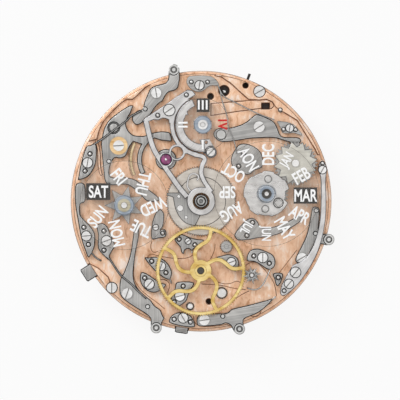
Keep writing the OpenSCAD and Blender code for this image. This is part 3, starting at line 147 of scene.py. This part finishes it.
for name, place, size, power in (
        ("overhead_panel", (0, 0.02, 0.6), 0.5, 0.5),
        ("key_lamp", (-0.2, 0.22, 0.3), 0.22, 0.8),
        ("side_lamp", (0.24, -0.1, 0.2), 0.3, 0.25)):
    lamp_data = bpy.data.lights.new(name, "AREA")
    lamp_data.size = size
    lamp_data.energy = power
    lamp = bpy.data.objects.new(name, lamp_data)
    lamp.location = place
    lamp.rotation_euler = (-Vector(place)).to_track_quat("-Z", "Y").to_euler()
    scene.collection.objects.link(lamp)


# Main plate and calendar plate: rose gilt brass with spotted graining, turned and milled.
# The recesses are cut square, and their edges are painted dark as shade, with a painted highlight just
# inside.
def metal(name, dark, light, rough, grain=(60, 7000), turn=0.0, cloud=700.0, cloudy=0.5,
          bump=0.3, metallic=0.8):
    """Grained metal: fine lines along one direction over slow cloudy shading."""
    made = bpy.data.materials.new(name)
    made.use_nodes = True
    t = made.node_tree
    shader = t.nodes["Principled BSDF"]
    shader.inputs["Metallic"].default_value = metallic
    place = t.nodes.new("ShaderNodeTexCoord")
    along = t.nodes.new("ShaderNodeMapping")
    along.vector_type = "TEXTURE"
    along.inputs["Rotation"].default_value = (0, 0, turn)
    along.inputs["Scale"].default_value = (1 / grain[0], 1 / grain[1], 1 / grain[1])
    t.links.new(place.outputs["Object"], along.inputs["Vector"])
    lines = t.nodes.new("ShaderNodeTexNoise")
    lines.inputs["Scale"].default_value = 1.0
    lines.inputs["Detail"].default_value = 3.0
    t.links.new(along.outputs[0], lines.inputs["Vector"])
    slow = t.nodes.new("ShaderNodeTexNoise")
    slow.inputs["Scale"].default_value = cloud
    slow.inputs["Detail"].default_value = 2.0
    t.links.new(place.outputs["Object"], slow.inputs["Vector"])
    both = t.nodes.new("ShaderNodeMix")
    both.data_type = "FLOAT"
    both.inputs["Factor"].default_value = cloudy
    t.links.new(lines.outputs["Fac"], both.inputs["A"])
    t.links.new(slow.outputs["Fac"], both.inputs["B"])
    ramp = t.nodes.new("ShaderNodeValToRGB")
    ramp.color_ramp.elements[0].position = 0.38
    ramp.color_ramp.elements[0].color = tint(dark)
    ramp.color_ramp.elements[1].position = 0.62
    ramp.color_ramp.elements[1].color = tint(light)
    t.links.new(both.outputs["Result"], ramp.inputs["Fac"])
    t.links.new(ramp.outputs["Color"], shader.inputs["Base Color"])
    worn = t.nodes.new("ShaderNodeMapRange")
    worn.inputs["To Min"].default_value = rough - 0.08
    worn.inputs["To Max"].default_value = rough + 0.08
    t.links.new(lines.outputs["Fac"], worn.inputs["Value"])
    t.links.new(worn.outputs["Result"], shader.inputs["Roughness"])
    relief = t.nodes.new("ShaderNodeBump")
    relief.inputs["Strength"].default_value = bump
    relief.inputs["Distance"].default_value = 0.00001
    t.links.new(lines.outputs["Fac"], relief.inputs["Height"])
    t.links.new(relief.outputs["Normal"], shader.inputs["Normal"])
    return made


def spotted(name, spot=1.05 * MM):
    """Rose gilding with overlapping polished spots, blotched with painted sheen where the light would catch
    them.
    """
    made = bpy.data.materials.new(name)
    made.use_nodes = True
    t = made.node_tree
    shader = t.nodes["Principled BSDF"]
    shader.inputs["Metallic"].default_value = 0.45
    shader.inputs["Roughness"].default_value = 0.5
    place = t.nodes.new("ShaderNodeTexCoord")
    cells = t.nodes.new("ShaderNodeTexVoronoi")
    cells.voronoi_dimensions = "2D"
    cells.inputs["Scale"].default_value = 1 / spot
    cells.inputs["Randomness"].default_value = 0.55
    t.links.new(place.outputs["Object"], cells.inputs["Vector"])
    rings = t.nodes.new("ShaderNodeMath")
    rings.operation = "MULTIPLY"
    rings.inputs[1].default_value = 46.0
    t.links.new(cells.outputs["Distance"], rings.inputs[0])
    wave = t.nodes.new("ShaderNodeMath")
    wave.operation = "SINE"
    t.links.new(rings.outputs[0], wave.inputs[0])
    lean = t.nodes.new("ShaderNodeMapping")
    lean.inputs["Rotation"].default_value = (0, 0, 0.25)
    lean.inputs["Scale"].default_value = (1500, 640, 700)
    t.links.new(place.outputs["Object"], lean.inputs["Vector"])
    streaks = t.nodes.new("ShaderNodeTexNoise")
    streaks.inputs["Scale"].default_value = 1.0
    streaks.inputs["Detail"].default_value = 9.0
    streaks.inputs["Roughness"].default_value = 0.66
    streaks.inputs["Distortion"].default_value = 0.9
    t.links.new(lean.outputs[0], streaks.inputs["Vector"])
    both = t.nodes.new("ShaderNodeMix")
    both.data_type = "FLOAT"
    both.inputs["Factor"].default_value = 0.32
    broad = t.nodes.new("ShaderNodeTexNoise")
    broad.inputs["Scale"].default_value = 420
    broad.inputs["Detail"].default_value = 3.0
    t.links.new(place.outputs["Object"], broad.inputs["Vector"])
    t.links.new(streaks.outputs["Fac"], both.inputs["A"])
    t.links.new(broad.outputs["Fac"], both.inputs["B"])
    ramp = t.nodes.new("ShaderNodeValToRGB")
    steps = ramp.color_ramp
    steps.elements[0].position = 0.38
    steps.elements[0].color = tint("fdeadc")
    steps.elements[1].position = 0.64
    steps.elements[1].color = tint("c7936e")
    middle = steps.elements.new(0.46)
    middle.color = tint("f6d0b2")
    deep = steps.elements.new(0.55)
    deep.color = tint("edbf9c")
    t.links.new(both.outputs["Result"], ramp.inputs["Fac"])
    t.links.new(ramp.outputs["Color"], shader.inputs["Base Color"])
    relief = t.nodes.new("ShaderNodeBump")
    relief.inputs["Strength"].default_value = 0.25
    relief.inputs["Distance"].default_value = 0.000004
    t.links.new(wave.outputs[0], relief.inputs["Height"])
    t.links.new(relief.outputs["Normal"], shader.inputs["Normal"])
    return made


weld = 0.0002 * MM
sharp_angle = 0.5
slight_cut = (0.03, 0.02)


def mid(face):
    """The middle of a face in mm."""
    return face.calc_center_median() / MM


def away(face, axis):
    """How far the middle of a face is from an upright axis, in mm."""
    at = mid(face)
    return math.hypot(at.x - axis[0], at.y - axis[1])


def piece_of(b, name, finishes, body):
    """Makes a piece that rides on a body: smooth, but for its sharp edges."""
    for face in b.faces:
        face.smooth = True
    for edge in b.edges:
        edge.smooth = len(edge.link_faces) == 2 and edge.calc_face_angle(0) < sharp_angle
    mesh = bpy.data.meshes.new(name)
    b.to_mesh(mesh)
    b.free()
    for finish in finishes:
        mesh.materials.append(finish)
    piece = bpy.data.objects.new(name, mesh)
    scene.collection.objects.link(piece)
    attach(piece, body)
    return piece


def dressed(node, finishes, cuts=(), facing=1, paint=None, smallest=0.0):
    """The node's own solid with the edges of its flat faces chamfered, in place of the plain node.

    finishes gives the metal of the solid, then one for each cut. cuts lists each chamfer's width
    and drop in mm, from the outside in. Faces under smallest mm2 stay plain, and one that is too
    slender for its cuts gets the slight cut alone. paint(face) may choose another finish for a face.
    """
    b = bmesh.new()
    b.from_mesh(nodes[node].data)
    bmesh.ops.remove_doubles(b, verts=b.verts, dist=weld)
    for face in b.faces:
        face.material_index = 0
    levels = {}
    for face in b.faces:
        if abs(face.normal.z) > 0.999 and face.normal.z * facing > 0:
            levels.setdefault(round(face.calc_center_median().z / MM, 3), []).append(face)
    for region in levels.values():
        area = sum(face.calc_area() for face in region)
        if area < smallest * MM * MM:
            continue
        inside = set(region)
        outline = sum(edge.calc_length() for edge in {e for face in region for e in face.edges}
                      if sum(face in inside for face in edge.link_faces) == 1)
        slender = area / outline < 1.4 * MM * sum(width for width, drop in cuts)
        for count, (width, drop) in enumerate([slight_cut] if slender else cuts):
            rim = bmesh.ops.inset_region(b, faces=region, use_boundary=True, use_even_offset=True,
                                         thickness=width * MM, depth=0)["faces"]
            kept = {v for face in region for v in face.verts}
            rim_verts = {v for face in rim for v in face.verts}
            outer = [v for v in b.verts if v in rim_verts and v not in kept]
            for face in rim:
                face.material_index = count + 1
            # An inset runs far in at a sharp corner, so it is held back there.
            furthest = 1.7 * width * MM
            for v in outer:
                for edge in v.link_edges:
                    inner = edge.other_vert(v)
                    step = inner.co - v.co
                    if inner in kept and step.length > furthest:
                        inner.co = v.co + step * (furthest / step.length)
            bmesh.ops.translate(b, verts=outer, vec=(0, 0, -facing * drop * MM))
    if paint:
        for face in b.faces:
            chosen = paint(face)
            if chosen is not None:
                face.material_index = chosen
    piece = piece_of(b, node + "_dressed", finishes, nodes[node]["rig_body"])
    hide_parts(node)


rose = spotted("spotted_rose_gilding")
# Plate chamfers: the outer ring is painted dark as shade, the inner ring painted light as a highlight.
rose_edge_shade = metal("painted_shade_gilt_edge", "6b3f26", "a06c48", 0.5, metallic=0.3)
rose_bevel_highlight = metal("painted_highlight_gilt_bevel", "f0c6a2", "fce6d3", 0.3, metallic=0.5)
# The floors of the calendar plate's wells are painted dark, as shade down the holes.
hole_shade = metal("shadowed_hole", "1d1614", "3b2a24", 0.6, metallic=0.2)
well_floor = 0.75

dressed("main_plate", [rose, rose_edge_shade, rose_bevel_highlight], cuts=((0.05, 0.03), (0.06, 0.02)), smallest=2)
dressed("calendar_plate", [rose, rose_edge_shade, rose_bevel_highlight, hole_shade],
        cuts=((0.07, 0.03), (0.05, 0.012)), smallest=0.3,
        paint=lambda face: 3 if face.normal.z > 0.9 and abs(mid(face).z - well_floor) < 0.05 else None)

# Milled steps of the calendar plate, round the moon work and under the levers.
# They are a few hundredths of a millimetre deep, so only their edges show, as thin dark lines of painted
# shade.
# Each line is a slim rod that lies sunk in the plate, with its crown just proud of the top.
step_edge_r = 0.065
step_edge_z = 1.065


def meshed(curve):
    """The mesh of a curve or a word."""
    holder = bpy.data.objects.new(curve.name, curve)
    scene.collection.objects.link(holder)
    bpy.context.view_layer.update()
    drawn = bpy.data.meshes.new_from_object(holder.evaluated_get(bpy.context.evaluated_depsgraph_get()))
    bpy.data.objects.remove(holder)
    return drawn


step_shade_lines = bpy.data.curves.new("step_shade_lines", "CURVE")
step_shade_lines.dimensions = "3D"
step_shade_lines.bevel_depth = step_edge_r * MM
step_shade_lines.bevel_resolution = 1
step_shade_lines.resolution_u = 6
for route in (
        ((1.24, -8.03), (1.19, -8.81), (1.63, -9.6), (2.57, -10.07), (3.51, -10.1), (4.53, -9.83),
         (5.08, -10.3)),
        ((0.07, -10.15), (2.26, -10.3), (4.14, -10.69), (5.47, -10.85)),
        ((-6.6, -6.93), (-6.28, -6.54), (-5.26, -6.7), (-3.23, -7.01), (-1.42, -6.85), (-0.72, -6.31)),
        ((-5.26, -9.6), (-4.25, -9.72), (-3.88, -10.22), (-4.14, -11.32)),
        ((-8.24, -8.03), (-8.24, -9.28), (-7.62, -10.54), (-6.68, -11.48), (-5.42, -12.42), (-4.48, -13.2)),
        ((5.47, -7.87), (6.02, -7.53), (6.81, -7.53), (7.43, -8.03), (8.06, -8.73), (8.69, -9.6),
         (9.08, -10.54), (9.24, -11.64)),
        ((4.22, -11.95), (5.08, -11.4), (5.87, -11.01)),
        ((11.74, -5.99), (10.41, -7.72), (9.55, -8.81)),
        ((-6.05, -4.89), (-6.16, -5.68), (-5.86, -6.23), (-5.26, -6.15)),
        ((-0.95, -14.06), (-0.72, -14.93), (0.07, -15.32), (1.63, -15.32), (3.36, -15.08)),
        ((5.32, -14.46), (5.71, -14.07), (6.65, -14.14), (7.28, -13.67), (7.35, -13.28), (8.69, -12.42)),
        ((1.71, -5.29), (1.63, -5.99), (1.16, -7.09))):
    spline = step_shade_lines.splines.new("BEZIER")
    spline.bezier_points.add(len(route) - 1)
    for point, (x, y) in zip(spline.bezier_points, route):
        point.co = (x * MM, y * MM, step_edge_z * MM)
        point.handle_left_type = "AUTO"
        point.handle_right_type = "AUTO"
step_rods = bmesh.new()
step_rods.from_mesh(meshed(step_shade_lines))
piece_of(step_rods, "plate_step_shade_lines", [rose_edge_shade], nodes["calendar_plate"]["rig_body"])

# Bridges and balance cock on the back: the same rose gilt brass, straight grained, with polished edges
# painted lighter as a highlight.
# They are screwed to the plate on their own feet.
def striped(name, dark, light, turn):
    """Striped metal: even bands, each brighter towards one side, as a turning wheel leaves them."""
    made = metal(name, dark, light, 0.38, grain=(400, 2500), cloudy=0.3)
    t = made.node_tree
    shader = t.nodes["Principled BSDF"]
    fine = shader.inputs["Base Color"].links[0].from_socket
    place = next(n for n in t.nodes if n.type == "TEX_COORD")
    across = t.nodes.new("ShaderNodeMapping")
    across.inputs["Rotation"].default_value = (0, 0, turn)
    t.links.new(place.outputs["Object"], across.inputs["Vector"])
    bands = t.nodes.new("ShaderNodeTexWave")
    bands.wave_profile = "SAW"
    bands.inputs["Scale"].default_value = 230
    bands.inputs["Distortion"].default_value = 0.0
    t.links.new(across.outputs[0], bands.inputs["Vector"])
    shade = t.nodes.new("ShaderNodeValToRGB")
    shade.color_ramp.elements[0].color = tint("c79a76")
    shade.color_ramp.elements[1].color = tint("ffffff")
    t.links.new(bands.outputs["Fac"], shade.inputs["Fac"])
    both = t.nodes.new("ShaderNodeMix")
    both.data_type = "RGBA"
    both.blend_type = "MULTIPLY"
    both.inputs["Factor"].default_value = 0.5
    t.links.new(fine, both.inputs[6])
    t.links.new(shade.outputs["Color"], both.inputs[7])
    t.links.new(both.outputs[2], shader.inputs["Base Color"])
    return made


bridge_gilt = striped("striped_bridge_gilding", "e5b38d", "f6d3b4", 0.6)
bridge_edge_highlight = metal("polished_gilt_edge_painted_highlight", "f0c8a6", "fbe3cf", 0.25, metallic=0.7)
for node in ("barrel_bridge", "train_bridge", "balance_cock"):
    dressed(node, [bridge_gilt, bridge_edge_highlight], cuts=((0.07, 0.07),), facing=-1, smallest=0.5)

# Wheels of the going train: gilt brass wheels riveted on steel pinions, and the barrel with its spring.
# The wheels have five spokes and are circular grained.
gilt = metal("gilt_brass", "d3ae5e", "f5de9c", 0.34, grain=(900, 2600))
steel_pinion = metal("polished_pinion_steel", "8d8d8c", "c6c6c4", 0.3)
train = {"centre_wheel": ((0.0, 0.0), 0.8), "third_wheel": ((-4.229, -1.539), 0.72),
         "fourth_wheel": ((-5.219, -5.234), 0.72), "minute_wheel": ((-2.457, -1.721), 0.0)}
hour_pipe_top = 3.5

for node, (axis, pinion_r) in train.items():
    dressed(node, [gilt, steel_pinion], paint=lambda face: 1 if away(face, axis) < pinion_r else 0)
for node in ("barrel", "balance"):
    dressed(node, [gilt, rose_edge_shade])
for node in ("escape_wheel", "pallet_fork", "ratchet_wheel", "crown_wheel", "click", "winding_pinion"):
    dressed(node, [steel_pinion])
pipe_shadow = metal("pipe_shadow", "2b2a29", "484644", 0.5, metallic=0.3)
dressed("hour_wheel", [gilt, pipe_shadow, steel_pinion], cuts=((0.08, 0.04),), smallest=0.3,
        paint=lambda face: 2 if mid(face).z > hour_pipe_top - 0.03 and face.material_index == 0 else None)
dressed("cannon_pinion", [steel_pinion, pipe_shadow], cuts=((0.06, 0.03),), smallest=0.2)

# Mainspring and balance spring: strips of spring steel, the balance spring blued.
# Jewels: ruby, pressed into the bridges as bearings.
blued = metal("blued_spring_steel", "3a4d78", "7086b4", 0.3, metallic=0.8)
for node in ("mainspring", "hairspring"):
    dressed(node, [blued])
ruby = bpy.data.materials.new("ruby")
ruby.use_nodes = True
ruby_shader = ruby.node_tree.nodes["Principled BSDF"]
ruby_shader.inputs["Roughness"].default_value = 0.12
ruby_shader.inputs["Coat Weight"].default_value = 0.6
ruby_depth = ruby.node_tree.nodes.new("ShaderNodeTexNoise")
ruby_depth.inputs["Scale"].default_value = 1600
ruby_place = ruby.node_tree.nodes.new("ShaderNodeTexCoord")
ruby_ramp = ruby.node_tree.nodes.new("ShaderNodeValToRGB")
ruby_ramp.color_ramp.elements[0].color = tint("6a1f52")
ruby_ramp.color_ramp.elements[0].position = 0.35
ruby_ramp.color_ramp.elements[1].color = tint("a54583")
ruby_ramp.color_ramp.elements[1].position = 0.65
ruby.node_tree.links.new(ruby_place.outputs["Object"], ruby_depth.inputs["Vector"])
ruby.node_tree.links.new(ruby_depth.outputs["Fac"], ruby_ramp.inputs["Fac"])
ruby.node_tree.links.new(ruby_ramp.outputs["Color"], ruby_shader.inputs["Base Color"])
# The outer chamfer of each jewel is painted dark, as shade.
dressed("jewels", [ruby, metal("ruby_rim_painted_shade", "35102a", "5b1f49", 0.2, metallic=0.0)], cuts=((0.1, 0.05),),
        smallest=0.2)

# Levers, spring feet and covers: hardened steel, straight grained on top, with edges painted dark as shade
# and a painted highlight just inside them.
# Each is cut from sheet, and is held by shouldered screws, or by a screw and steady pins.
def brushed(name, turn):
    return metal(name, "969593", "c1bfbc", 0.42, grain=(90, 9000), turn=turn, cloud=420, cloudy=0.45)


# Steel chamfers: the outer one is painted dark as shade, the inner one painted light as a highlight.
edge_shade = metal("painted_shade_steel_edge", "141313", "2a2928", 0.8, metallic=0.0)
edge_highlight = metal("polished_steel_edge_painted_highlight", "bdbdbb", "e0dfdd", 0.3, metallic=0.6)
across = brushed("steel_grained_across", 0.15)
upright = brushed("steel_grained_upright", math.pi / 2)
leaning = brushed("steel_grained_leaning", 0.9)
fine_cut = ((0.12, 0.035), (0.04, 0.012))
lever_pins_from = 1.66


def lever_pin(face):
    """Finds the pins that stand on the levers: an end painted light as a highlight, in a chamfer painted
    dark as shade.
    """
    if mid(face).z < lever_pins_from or face.normal.z < 0.2:
        return None
    return 2 if face.normal.z > 0.95 else 1


for node, steel in (
        ("spring_foot_top", across), ("spring_foot_ne", across), ("spring_foot_sw", upright),
        ("spring_foot_w", upright), ("spring_foot_nw", upright), ("moon_work_feet", across),
        ("bottom_foot", across), ("kidney_foot", across), ("date_work_feet", upright),
        ("cover_plates", leaning), ("case_pusher_w", upright), ("case_pusher_s", across)):
    dressed(node, [steel, edge_shade, edge_highlight], cuts=fine_cut, smallest=0.25)
for node, steel in (
        ("corrector_nw", leaning), ("corrector_e", upright), ("corrector_sw", upright),
        ("corrector_s", across), ("calendar_lever", upright), ("month_lever", across)):
    dressed(node, [steel, edge_shade, edge_highlight], cuts=fine_cut, smallest=1.25, paint=lever_pin)
sector_gilt = metal("sector_gilding", "b9a077", "e3cda4", 0.35)
dressed("rack_sector", [sector_gilt, edge_shade], cuts=((0.03, 0.02),))

# Calendar bridge and arc bridge: steel, polished on top with wide bevelled edges, which are painted darker
# as shade.
# They are screwed and pinned over the levers, and hold the upper pivots of the calendar work.
bridge_steel = metal("polished_bridge_steel", "c0bebd", "dedcdb", 0.3, grain=(60, 5000), turn=0.9,
                     cloudy=0.6)
bridge_bevel_shade = metal("polished_bridge_bevel_painted_shade", "8f8e92", "b4b3b6", 0.25, metallic=0.6)
for node in ("calendar_bridge", "arc_bridge"):
    dressed(node, [bridge_steel, edge_shade, bridge_bevel_shade], cuts=((0.05, 0.04), (0.05, 0.03)), smallest=0.3)

# Star wheels, cams and the date wheel: each turns on its own post.
# The stars and cams are polished steel, and the date and month wheels are silvered brass.
pale = metal("silvered_brass", "bdbab0", "dad7cd", 0.4, grain=(500, 3000))
polish = metal("polished_cam_steel", "b5b3b1", "dbd9d7", 0.28, grain=(400, 1500))
collar_blue = metal("blue_grey_collar", "8d98a6", "b0bbc7", 0.4, metallic=0.3)
screw_silver = metal("polished_screw_steel", "d2d0ce", "f1f0ef", 0.24, grain=(400, 2500), metallic=0.7)
# Heights in mm from which each next level of a stack has its own finish.
collar_from = 2.76
month_cam_from = 2.19
month_points_from = 1.955
date_snail_from = 1.44
date_screws_from = 1.62
# Their chamfers are painted dark as shade, and some have a painted highlight just inside.
for node in ("day_star", "leap_star"):
    dressed(node, [upright, edge_shade, collar_blue], cuts=((0.04, 0.03),), smallest=1,
            paint=lambda face: 2 if mid(face).z > collar_from and face.material_index == 0 else None)
dressed("month_cam", [polish, edge_shade, edge_highlight, collar_blue, upright],
        cuts=((0.05, 0.035), (0.05, 0.015)), smallest=1,
        paint=lambda face: (3 if mid(face).z > collar_from and face.material_index == 0 else
                            4 if mid(face).z < month_cam_from else None))
dressed("year_satellite", [polish, edge_shade], cuts=((0.04, 0.03),))
dressed("month_star", [pale, edge_shade, edge_highlight, upright], cuts=((0.04, 0.03), (0.03, 0.01)), smallest=1,
        paint=lambda face: 3 if mid(face).z < month_points_from else None)
dressed("moon_star", [upright, edge_shade, edge_highlight], cuts=((0.04, 0.03), (0.03, 0.01)), smallest=0.5)
date_pale = metal("date_wheel_brass", "c4bcb2", "ded7ce", 0.4, grain=(500, 3000))
dressed("date_wheel", [date_pale, edge_shade, upright, screw_silver], cuts=((0.04, 0.03),), smallest=1,
        paint=lambda face: (3 if mid(face).z > date_screws_from else
                            2 if mid(face).z > date_snail_from and face.material_index == 0 else None))
# The moon wheel's chamfer is painted dark, as shade.
dressed("moon_wheel", [gilt, metal("gilt_wheel_edge_painted_shade", "8d6a24", "b8933e", 0.4)], cuts=((0.035, 0.03),),
        smallest=1)

# Posts: polished steel studs, riveted in the plate, on which the stars and wheels turn.
# Each collar has a washer over it: silvered on the day, dark on the month and bright on the year. The moon
# wheel's post is painted dark, as shade down its hole.
dark_washer_and_post_shade = metal("dark_washer_and_painted_post_shade", "3b3936", "57544f", 0.4, metallic=0.4)
washer_pale = metal("silvered_washer", "a89f85", "cfc7b0", 0.35)
day_axis = (-9.4, -0.5)
month_axis = (8.0, 0.9)
moon_axis = (-0.05, -8.5)
washer_z = 3.25


def post_end(face):
    """Paints the washers, which lie on the collars, and the moon wheel's post dark, as painted shade down
    its hole.
    """
    if away(face, moon_axis) < 0.5:
        return 1
    if abs(mid(face).z - washer_z) > 0.06:
        return None
    if away(face, day_axis) < 0.9:
        return 2
    return 1 if away(face, month_axis) < 0.7 else None


dressed("disc_posts", [screw_silver, dark_washer_and_post_shade, washer_pale], paint=post_end)

# Clear discs: sapphire rings with white names printed on top, over black windows.
# The day and month that are read stand upright over the window.
def clear(name, alpha, code, rough=0.1):
    """Sapphire or ink: one plain colour, seen through as far as alpha says."""
    made = bpy.data.materials.new(name)
    made.use_nodes = True
    shader = made.node_tree.nodes["Principled BSDF"]
    shader.inputs["Base Color"].default_value = tint(code)
    shader.inputs["Roughness"].default_value = rough
    shader.inputs["Alpha"].default_value = alpha
    return made


sapphire = clear("sapphire", 0.035, "fff8f0")
# The outer chamfer of each clear disc is painted dark and nearly opaque, as the shade at its edge.
sapphire_edge_shade = clear("sapphire_edge_shade", 0.7, "6f675d")
for node in ("day_disc", "month_disc", "leap_disc"):
    dressed(node, [sapphire, sapphire_edge_shade], cuts=((0.05, 0.04),))
window_black = metal("black_window", "0c0a0a", "161312", 0.9, metallic=0.0)
# Their chamfers are painted dark, as shade.
dressed("window_backings", [window_black, edge_shade], cuts=((0.04, 0.03),), smallest=0.5)

white_ink = clear("white_ink", 1.0, "ffffff", rough=0.6)
red_ink = clear("red_ink", 1.0, "cf1f1f", rough=0.6)
print_z = 2.962
print_t = 0.02


def lettering(name, words, centre, reach, height, squeeze, body, inks, weight=0.025, spacing=1.0):
    """Words printed round a disc: each is (text, angle of its place, turn of its letters, ink)."""
    b = bmesh.new()
    for text, place, turn, ink in words:
        curve = bpy.data.curves.new(name, "FONT")
        curve.body = text
        curve.bevel_depth = weight
        curve.bevel_resolution = 0
        curve.space_character = spacing
        drawn = meshed(curve)
        corners = [v.co for v in drawn.vertices]
        left, right = min(c.x for c in corners), max(c.x for c in corners)
        bottom, top = min(c.y for c in corners), max(c.y for c in corners)
        size = height * MM / (top - bottom)
        spot = Vector((centre[0] + reach * math.cos(math.radians(place)),
                       centre[1] + reach * math.sin(math.radians(place)), 0)) * MM
        drawn.transform(
            Matrix.Translation(spot + Vector((0, 0, print_z * MM)))
            @ Matrix.Rotation(math.radians(turn), 4, "Z")
            @ Matrix.Diagonal((size * squeeze, size, print_t * MM / (2 * weight), 1))
            @ Matrix.Translation((-(left + right) / 2, -(bottom + top) / 2, 0)))
        before = len(b.faces)
        b.from_mesh(drawn)
        b.faces.ensure_lookup_table()
        for face in b.faces[before:]:
            face.material_index = ink
    bmesh.ops.remove_doubles(b, verts=b.verts, dist=0.0005 * MM)
    bmesh.ops.recalc_face_normals(b, faces=b.faces)
    piece_of(b, name, inks, body)


days = ["SAT", "SUN", "MON", "TUE", "WED", "THU", "FRI"]
lettering("day_names", [(day, 152.1 + 360 / 7 * i, 360 / 7 * i, 0) for i, day in enumerate(days)],
          day_axis, 3.55, 1.52, 0.68, "day", [white_ink])
months = ["MAR", "FEB", "JAN", "DEC", "NOV", "OCT", "SEP", "AUG", "JUL", "JUN", "MAY", "APR"]
lettering("month_names", [(month, -2.4 + 30 * i, 30 * i, 0) for i, month in enumerate(months)],
          month_axis, 4.8, 1.52, 0.66, "month", [white_ink])
lettering("year_numerals", [("III", 90, 0, 0), ("IV", 0, -90, 1), ("I", -90, 180, 0), ("II", 180, 90, 0)],
          (0.2, 9.35), 2.42, 1.15, 0.85, "leap", [white_ink, red_ink], weight=0.04, spacing=1.25)

# Screws and steady pins on the dial side: polished heads in sinks, slotted; the pins have domed ends.
# The lever screws are shouldered, and the calendar lever's sits in a gilt ring.
sink_shade = metal("shadowed_sink", "171514", "2c2827", 0.6, metallic=0.2)
slot_shade = metal("screw_slot_painted_shade", "77746f", "9a9793", 0.4, metallic=0.4)
washer_gilt = metal("washer_gilding", "cf9f62", "f3d3a4", 0.35)
lever_screw_axis = (-10.1, 6.8)
lever_washer_r = 1.15
lever_washer_z = 1.71


def solids(node):
    """Each separate solid of a node, as (middle, radius, top) in mm."""
    b = bmesh.new()
    b.from_mesh(nodes[node].data)
    bmesh.ops.remove_doubles(b, verts=b.verts, dist=weld)
    seen, found = set(), []
    for start in b.verts:
        if start in seen:
            continue
        seen.add(start)
        group = [start]
        for v in group:
            for edge in v.link_edges:
                other = edge.other_vert(v)
                if other not in seen:
                    seen.add(other)
                    group.append(other)
        xs = [v.co.x / MM for v in group]
        ys = [v.co.y / MM for v in group]
        found.append((((min(xs) + max(xs)) / 2, (min(ys) + max(ys)) / 2), (max(xs) - min(xs)) / 2,
                      max(v.co.z for v in group) / MM))
    b.free()
    return found


def turned(b, centre, profile, finish=0, steps=40):
    """Spins a profile of (radius, height) points in mm about an upright axis."""
    points = [b.verts.new(((centre[0] + r) * MM, centre[1] * MM, z * MM)) for r, z in profile]
    edges = [b.edges.new(pair) for pair in zip(points, points[1:] + points[:1])]
    before = set(b.faces)
    bmesh.ops.spin(b, geom=points + edges, cent=(centre[0] * MM, centre[1] * MM, 0), axis=(0, 0, 1),
                   dvec=(0, 0, 0), angle=2 * math.pi, steps=steps, use_merge=True)
    for face in b.faces:
        if face not in before:
            face.material_index = finish


def cleaned(b):
    """Welds what was spun, and turns its faces outward."""
    bmesh.ops.remove_doubles(b, verts=b.verts, dist=weld)
    bmesh.ops.dissolve_degenerate(b, dist=weld / 2, edges=b.edges)
    bmesh.ops.recalc_face_normals(b, faces=b.faces)
    return b


tops = {}
for node in ("dial_screws", "lever_screws"):
    for spot, radius, top in solids(node):
        tops[(round(spot[0], 2), round(spot[1], 2))] = top


def slot_floor(face):
    """Finds the bottom of a slot, which is painted darker as shade: an upward face a little below the top
    of its screw.
    """
    below = tops[min(tops, key=lambda spot: away(face, spot))] - mid(face).z
    return 1 if face.normal.z > 0.9 and 0.05 < below < 0.2 else None


def gilt_washer(face):
    """Finds the washer of the calendar lever's screw, and otherwise the slots."""
    if away(face, lever_screw_axis) < lever_washer_r and abs(mid(face).z - lever_washer_z) < 0.07:
        return 2
    return slot_floor(face)


dressed("dial_screws", [screw_silver, slot_shade], paint=slot_floor)
dressed("lever_screws", [screw_silver, slot_shade, washer_gilt], paint=gilt_washer)
back_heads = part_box("bridge_screws")[0][2] / MM
dressed("bridge_screws", [screw_silver, slot_shade], facing=-1,
        paint=lambda face: 1 if face.normal.z < -0.9 and 0.05 < mid(face).z - back_heads < 0.2 else None)
# Dark rings in the sinks round the screw heads and pins, painted as shade.
sink_hole_shade = bmesh.new()
for spot, radius, top in solids("dial_screws"):
    turned(sink_hole_shade, spot, [(radius + 0.01, top - 0.27), (radius + 0.11, top - 0.27),
                         (radius + 0.09, top - 0.25), (radius + 0.01, top - 0.25)])
domes = bmesh.new()
plate_r = 16
edge_pin_from = 15.4
for spot, radius, top in solids("dial_pins"):
    if math.hypot(*spot) > plate_r:
        continue
    turned(sink_hole_shade, spot, [(radius + 0.01, top - 0.118), (radius + 0.1, top - 0.118),
                         (radius + 0.08, top - 0.1), (radius + 0.01, top - 0.1)])
    if radius < 0.25:
        turned(domes, spot, [(0, top - 0.05), (radius - 0.04, top - 0.05), (radius - 0.04, top),
                             (radius - 0.08, top + 0.05), (0.03, top + 0.08), (0, top + 0.08)], steps=24)
# Open holes of the calendar plate, filled with discs painted dark as shade, and the stud that stands in the
# widest, painted dark as shade too.
for spot, radius, depth in (
        ((1.15, 12.85), 0.37, 0.61), ((5.45, 14.2), 0.34, 0.06), ((0.95, -12.3), 0.34, 0.06)):
    turned(sink_hole_shade, spot, [(0, depth), (radius, depth), (radius, depth + 0.03), (0, depth + 0.03)])
stud = (2.86, 13.45)
turned(sink_hole_shade, stud, [(0, 0.76), (0.36, 0.76), (0.36, 1.0), (0.3, 1.02), (0, 1.02)])
for spot, radius, top in solids("jewels"):
    if top > 2:
        turned(domes, spot, [(0, top - 0.03), (0.14, top - 0.03), (0.12, top + 0.03),
                             (0.04, top + 0.06), (0, top + 0.06)])
turned(domes, stud, [(0, 1.0), (0.17, 1.0), (0.15, 1.08), (0.04, 1.12), (0, 1.12)])
piece_of(cleaned(sink_hole_shade), "screw_sink_hole_shade", [sink_shade], "plate")
piece_of(cleaned(domes), "pin_domes", [screw_silver], "plate")
# The pins beyond the plate's edge are painted dark, as shade.
dressed("dial_pins", [screw_silver, edge_shade],
        paint=lambda face: 1 if away(face, (0, 0)) > edge_pin_from else None)
